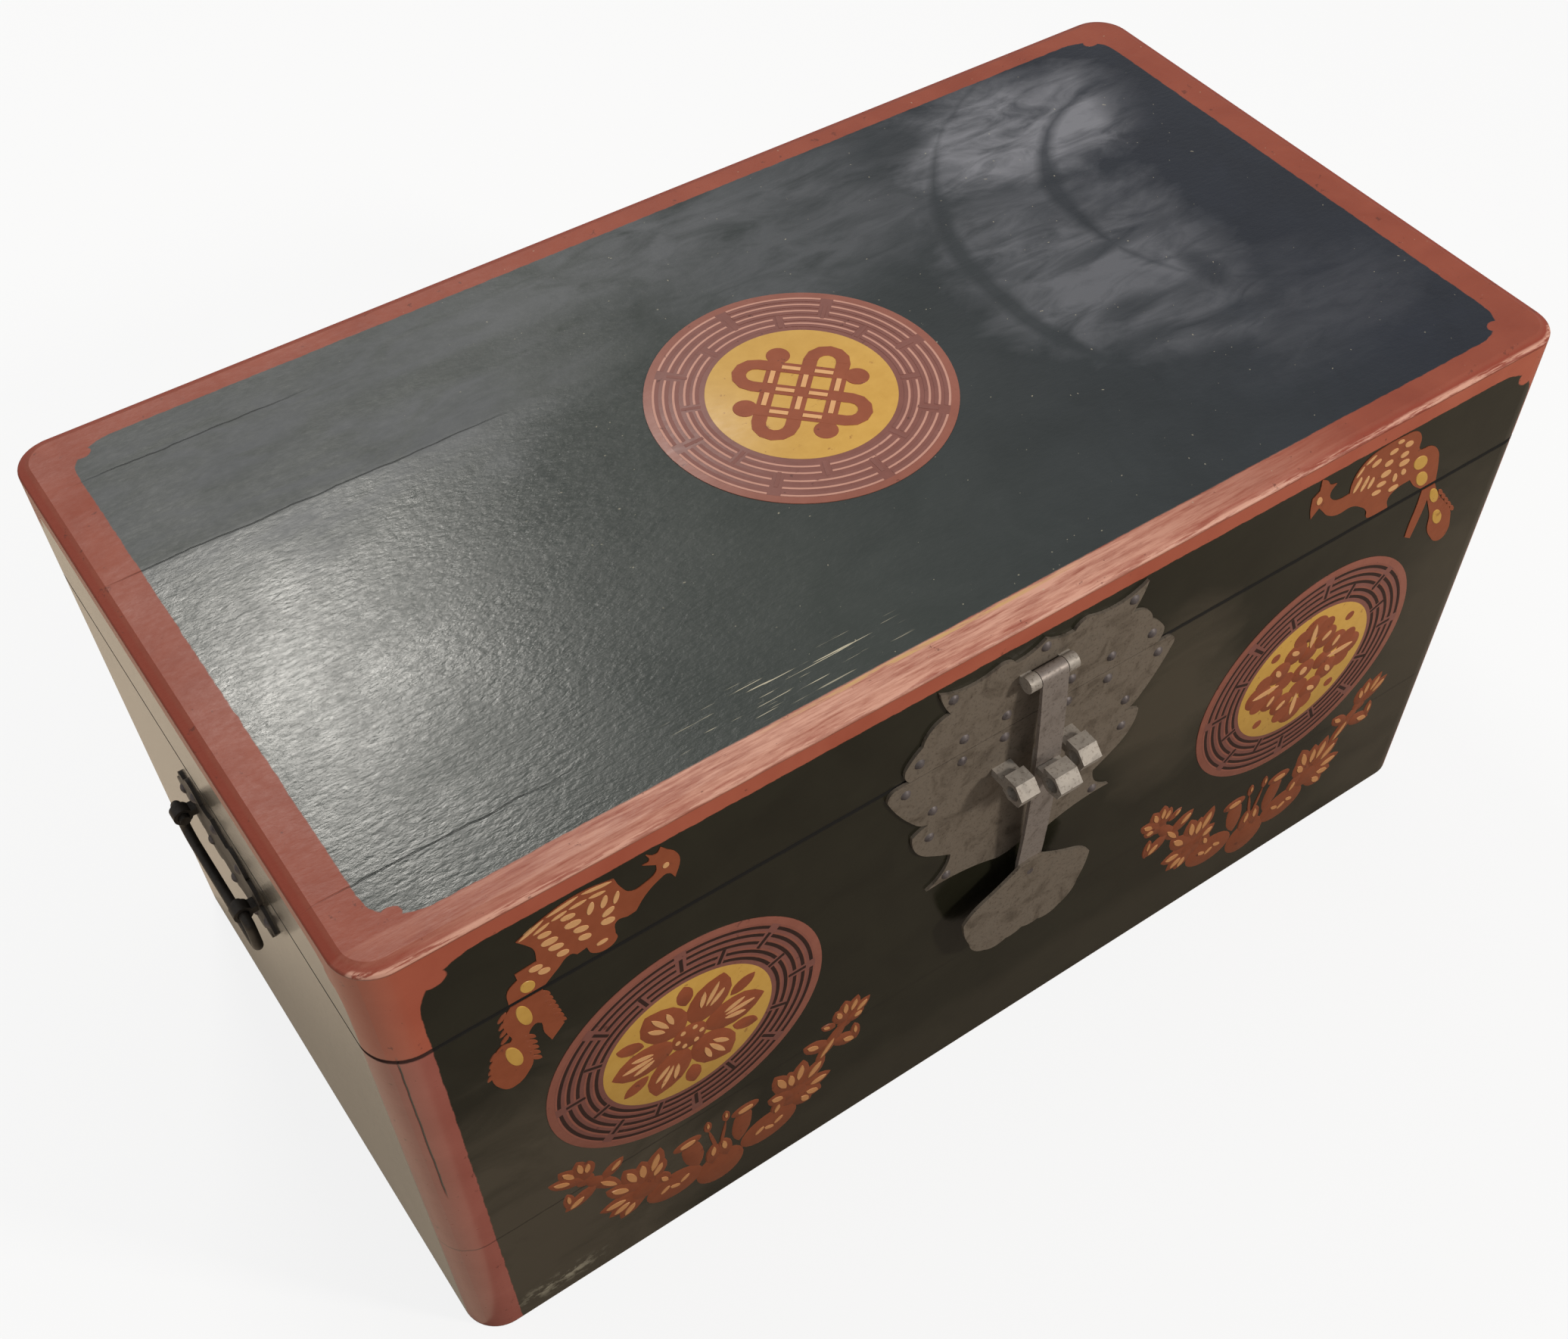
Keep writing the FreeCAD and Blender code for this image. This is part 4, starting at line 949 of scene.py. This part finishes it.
RIGHT_BIRD = {
    "corner": HALF_LENGTH - 205.0,
    "body": [
        (45.8, 33, 0), (43.8, 26), (43, 18.5, 0), (47, 15.5, 0), (46.5, 8, 0), (51, 11), (54, 15),
        (58.5, 16.5, 0), (55.5, 21), (58.5, 27), (64, 30), (71, 30, 0), (70.5, 24), (73, 16),
        (79, 11), (88, 9), (100, 9), (110, 10.5), (115.5, 17), (117.5, 26), (126, 28), (133, 34),
        (137.5, 45), (140.5, 58.3, 0), (129.5, 58.3, 0), (123, 53), (117.5, 46, 0), (108.5, 47),
        (104, 51), (106, 58.3, 0), (97, 58.3, 0), (91, 57), (89, 51.5), (82.5, 45), (75, 41),
        (66.5, 41.2), (58.5, 37.5), (53.5, 32), (50, 28, 0),
    ],
    "tail": [
        (131.5, 60.9, 0), (141, 60.9, 0), (145, 68), (151, 76), (157, 83), (163.5, 91), (167, 100),
        (168.5, 109), (166, 113.5), (161, 113), (154, 106), (148.5, 97), (146.5, 87), (143, 79),
        (139, 71, 0), (138.5, 78), (137, 88), (135.5, 96.5, 0), (130.5, 93, 0), (130.5, 84),
        (131.5, 73),
    ],
    "feathers": [
        (85, 17.8, 7, 3.8, 15), (96.2, 16.2, 6.5, 3.4, 0), (106.7, 16.7, 7, 4, -20),
        (99.5, 11.6, 5.5, 2.6, -15), (95, 23, 6.5, 4, -5), (105.8, 23, 6.5, 3.8, -5),
        (95.3, 30, 8, 4.4, -5), (107.5, 29.2, 8.5, 4.2, -8), (94.2, 36.2, 7.5, 3.4, -8),
        (92.2, 40.8, 7.5, 3.2, -10), (105.3, 44.7, 8, 3.8, -5), (109.5, 36.2, 5.5, 3.4, -50),
        (103.7, 37, 6.5, 3.6, -75), (75, 26.7, 10, 3.4, 70), (80.5, 28.7, 10, 3.4, 70),
        (85.3, 30.8, 7.5, 3.4, 70), (48.5, 22.5, 6, 4, -65),
    ],
    "gold": [(121.7, 36.7, 14, 8.5, -42), (127.5, 50.4, 15, 7.5, -52)],
    "tail_gold": [(143.6, 70.5, 16, 5.8, -58), (153.5, 91, 16, 6.4, -58)],
    "lines": [(2.4, [(72, 21), (76.5, 15), (83.5, 11.5)])],
    "barbs": [((148, 70), (164, 90), 5, (3.2, 4.0))],
}
BIRD_DROP = 5.0

# %% Both birds


def stroke_run(width, points, moved, level):
    """Thin pale line through several points, as a row of overlapping petals."""
    placed = [moved(point) for point in points]
    return [lay(petal_shape, a, b, width, level) for a, b in zip(placed, placed[1:])]


def barbs(rows, moved):
    """Short feather tips along the edges of the tail, from the first to the last root of each row."""
    tips = []
    for first, last, count, reach in rows:
        for number in range(count):
            root = Vector(first).lerp(Vector(last), number / (count - 1))
            tip = root + Vector(reach)
            tips.append(lay(petal_shape, moved(root - Vector(reach) * 0.4), moved(tip), 2.6, 0.05))
    return tips


def bird(name, drawing):
    def moved(point):
        return (drawing["corner"] + point[0], LID_TOP - BIRD_DROP - point[1], *point[2:3])

    def ovals(part):
        return [spot(moved(mark[:2]), *mark[2:], level=0.7) for mark in drawing[part]]

    body = outline_piece(name + "_body", [moved(point) for point in drawing["body"]])
    tail = outline_piece(name + "_tail", [moved(point) for point in drawing["tail"]])
    strokes = ovals("feathers")
    for width, points in drawing["lines"]:
        strokes += stroke_run(width, points, moved, 0.5)
    gather(name + "_body", [body], ON_FRONT, "figure_red", "lid")
    gather(name + "_strokes", strokes, ON_FRONT, "stroke_gold", "lid")
    gather(name + "_gold", ovals("gold"), ON_FRONT, "ground_gold", "lid")
    gather(name + "_tail", [tail] + barbs(drawing["barbs"], moved), ON_FRONT, "figure_red", "box")
    gather(name + "_tail_gold", ovals("tail_gold"), ON_FRONT, "ground_gold", "box")


bird("left_bird", LEFT_BIRD)
bird("right_bird", RIGHT_BIRD)
print("birds: 2, each split at the seam")

# %% [markdown]
# ## Flower sprays
# Under each front medallion hangs a spray: small flowers at its ends, a many-petalled flower on each side,
# fruit, two buds on stalks and a round pod in the middle. Everything is laid from petals and spots, with
# a smaller pale petal on most of the red ones for the carved light.

# %% Parts of a spray, in millimetres from its own corner of the front

SPRAY_CORNER = (40.0, 210.0)
# Flowers: base, width of a petal, radius of the heart and the tips of the petals
FLOWERS = [
    ((56, 77.5), 12.5, 9, [(67.5, 45), (56.2, 47.5), (46.2, 46), (35, 56), (29.4, 73.8), (33.8, 85),
                           (40, 93.8), (69, 58)]),
    ((147.5, 76.2), 12.5, 9, [(136, 46), (145, 50), (153.8, 46), (167.5, 55), (171.2, 75), (165, 87.5),
                              (157.5, 92), (131.2, 66)]),
    ((26.2, 32), 9.5, 5, [(13.8, 10.6), (23.8, 10), (7.5, 17), (29.5, 15)]),
    ((180, 33), 9.5, 5, [(180, 12.5), (188, 13.8), (195.6, 21.2), (174, 18), (192, 31)]),
]
LEAVES = [
    ((25, 30), (44, 58), 9), ((34, 42), (47.5, 31), 9), ((32, 42), (12.5, 51.5), 11),
    ((16, 52), (15.5, 35), 6.5), ((182, 30), (161, 58), 9), ((170, 48), (154, 35), 11),
    ((172, 44), (187.5, 56), 11), ((187, 57), (186, 40), 6.5), ((174, 32), (165, 25), 6),
    ((62, 70), (70, 84), 9), ((141, 70), (134, 84), 9),
]
FRUIT = [((72.5, 92.5), 34, 25, -10), ((131, 92.5), 36, 26, 10)]
FRUIT_STROKES = [(-6, -1, 30), (0, 1, -30), (6, -1, 30)]
POD = ((100, 102.5), 29.5, 30)
NECK = [((95, 96), (97.5, 75)), ((105, 96), (102.5, 75))]
BUDS = [((82.5, 59), 1), ((117.5, 59), -1)]
BUD_FOOT = 89
SMALL_BUDS = [(95, 54), (106, 54)]


def spray_place(side, shift):
    """Places on the drawing of the left spray, mirrored and shifted for the right one."""
    def moved(point):
        from_middle = -HALF_LENGTH + SPRAY_CORNER[0] + point[0]
        if side > 0:
            from_middle = shift - from_middle
        return Vector((from_middle, LID_TOP - SPRAY_CORNER[1] - point[1]))
    return moved


def petals(start, end, width, level=0.0):
    """A red petal and the pale stroke on it."""
    start = Vector(start)
    end = Vector(end)
    red = lay(petal_shape, start, end, width, level)
    pale = lay(petal_shape, start.lerp(end, 0.42), start.lerp(end, 0.88), width * 0.36, 1.1)
    return red, pale


def spray(name, side, shift):
    moved = spray_place(side, shift)
    pairs = []
    red, pale = [], []
    for base, width, heart, tips in FLOWERS:
        pairs += [petals(moved(base), moved(tip), width) for tip in tips]
        red.append(spot(moved(base), 2 * heart, 2 * heart, level=0.1))
    pairs += [petals(moved(start), moved(end), width, 0.05) for start, end, width in LEAVES]
    for centre, length, width, tilt in FRUIT:
        red.append(spot(moved(centre), length, width, -side * tilt, 0.2))
        for u, v, angle in FRUIT_STROKES:
            pale.append(spot(moved((centre[0] + u, centre[1] + v)), 7, 3, -side * angle, 1.1))
    centre, length, width = POD
    red.append(spot(moved(centre), length, width, 0, 0.3))
    pairs += [petals(moved(start), moved(end), 9, 0.25) for start, end in NECK]
    for bud, inward in BUDS:
        foot = moved((bud[0] + inward * 5, BUD_FOOT))
        red.append(lay(petal_shape, foot, moved((bud[0], bud[1] - 4)), 12, 0.05))
        red.append(spot(moved(bud), 17, 9.5, 0, 0.1))
        pale.append(spot(moved(bud), 10, 4.4, 0, 1.1))
    for bud in SMALL_BUDS:
        pairs.append(petals(moved((bud[0], bud[1] + 6)), moved((bud[0], bud[1] - 5)), 5))
        red.append(lay(petal_shape, moved((100, 88)), moved((bud[0], bud[1] + 4)), 2.4, 0.02))
    gather(name, red + [pair[0] for pair in pairs], ON_FRONT, "spray_red", "box")
    gather(name + "_strokes", pale + [pair[1] for pair in pairs], ON_FRONT, "spray_gold", "box")


spray("left_spray", -1, 0.0)
spray("right_spray", 1, 5.0)
for shape in (petal_shape, spot_shape):
    bpy.data.objects.remove(shape)
print("sprays: 2")

# %% [markdown]
# ## Studio
# The photograph shows the chest from above and to its left, cut out on white. The camera was solved from
# the chest's corners in the picture. A lamp stands behind the chest where the lid mirrors it, because the
# lid shows a wide sheen on its left. A warm key from the front right throws the shadow of the lock, and a
# card that only reflections see lies beside the left end, which mirrors a pale floor at a flat angle.

# %% Floor, card and backdrop

FLOOR_SEEN = (0.82, 0.82, 0.82, 1.0)
FLOOR_MIRRORED = (0.26, 0.22, 0.18, 1.0)
CARD_COLOUR = (0.80, 0.66, 0.50, 1.0)
FLOOR_GLOW_SHARE = 0.85
CARD_GLOW = 0.2
CARD_SIZE = (0.9, 1.6)
CARD_BACK = 0.3
FLOOR_SIZE = 12
HAIR = 0.001
SKY_LIGHT = 0.42


def white_floor():
    """White to the camera and a dim warm floor to everything else, with the chest's shadow on it."""
    material = bpy.data.materials.new("pale_floor")
    material.use_nodes = True
    tree = material.node_tree
    shader = tree.nodes["Principled BSDF"]
    shader.inputs["Roughness"].default_value = 0.9
    shader.inputs["Specular IOR Level"].default_value = 0.1
    light = tree.nodes.new("ShaderNodeEmission")
    path = tree.nodes.new("ShaderNodeLightPath")
    seen = Signal(tree, path.outputs["Is Camera Ray"])
    feed(shader.inputs["Base Color"], mixed(seen, FLOOR_MIRRORED, FLOOR_SEEN))
    blend = tree.nodes.new("ShaderNodeMixShader")
    feed(blend.inputs[0], seen * FLOOR_GLOW_SHARE)
    tree.links.new(shader.outputs[0], blend.inputs[1])
    tree.links.new(light.outputs[0], blend.inputs[2])
    tree.links.new(blend.outputs[0], tree.nodes["Material Output"].inputs["Surface"])
    return material


def mirrored_card():
    material = bpy.data.materials.new("warm_card")
    material.use_nodes = True
    shader = material.node_tree.nodes["Principled BSDF"]
    shader.inputs["Base Color"].default_value = CARD_COLOUR
    shader.inputs["Emission Color"].default_value = CARD_COLOUR
    shader.inputs["Emission Strength"].default_value = CARD_GLOW
    return material


deselect()
bpy.ops.mesh.primitive_plane_add(size=FLOOR_SIZE, location=(0, 0, -HAIR / 2))
floor = bpy.context.object
floor.name = "studio_floor"
floor.data.materials.append(white_floor())

card_middle = -HALF_LENGTH * MM - CARD_SIZE[0] / 2 - 2 * HAIR
deselect()
bpy.ops.mesh.primitive_plane_add(size=1, location=(card_middle, CARD_BACK, HAIR))
card = bpy.context.object
card.name = "mirrored_card"
card.scale = (*CARD_SIZE, 1)
bpy.ops.object.transform_apply(scale=True)
card.data.materials.append(mirrored_card())
card.visible_camera = False
card.visible_diffuse = False
card.visible_shadow = False

world = bpy.data.worlds.new("studio")
bpy.context.scene.world = world
world.use_nodes = True
sky = world.node_tree
path = sky.nodes.new("ShaderNodeLightPath")
seen = Signal(sky, path.outputs["Is Camera Ray"]).most(Signal(sky, path.outputs["Is Transmission Ray"]))
feed(sky.nodes["Background"].inputs["Strength"], seen.math("MULTIPLY_ADD", 1 - SKY_LIGHT, SKY_LIGHT))
sky.nodes["Background"].inputs["Color"].default_value = (1, 1, 1, 1)
print("floor and world: white to the camera")

# %% Lamps and camera

WARM = (1.0, 0.94, 0.86)
NEUTRAL = (1.0, 0.965, 0.90)
SHEEN_LAMP = (-0.012, 1.213, 1.73)
SHEEN_AIM = (-0.2, -0.08, LID_TOP * MM)
KEY_LAMP = (1.3, -1.9, 1.6)
KEY_AIM = (0, -0.18, 0.2)
CAMERA_PLACE = (-0.3888, -0.5620, 0.9214)
CAMERA_TURNS = (37.340, -0.458, -35.419)
CAMERA_LENS = 42.31
CAMERA_SHIFT = (-0.0371, 0.0779)


def soft_light(name, place, aim, size, power, colour):
    deselect()
    bpy.ops.object.light_add(type="AREA", location=place)
    lamp = bpy.context.object
    lamp.name = name
    lamp.data.size = size
    lamp.data.energy = power
    lamp.data.color = colour
    lamp.rotation_euler = (Vector(aim) - Vector(place)).to_track_quat("-Z", "Y").to_euler()
    return lamp


soft_light("behind", SHEEN_LAMP, SHEEN_AIM, 0.36, 12.5, NEUTRAL)
soft_light("key", KEY_LAMP, KEY_AIM, 0.3, 34, WARM)

bpy.ops.object.camera_add(location=CAMERA_PLACE, rotation=[math.radians(turn) for turn in CAMERA_TURNS])
camera = bpy.context.object
camera.data.sensor_width = 36.0
camera.data.lens = CAMERA_LENS
camera.data.shift_x, camera.data.shift_y = CAMERA_SHIFT
camera.data.clip_start = 0.01
bpy.context.scene.camera = camera
bpy.context.scene.view_settings.view_transform = "Standard"
print("camera at", [round(part, 3) for part in camera.location])
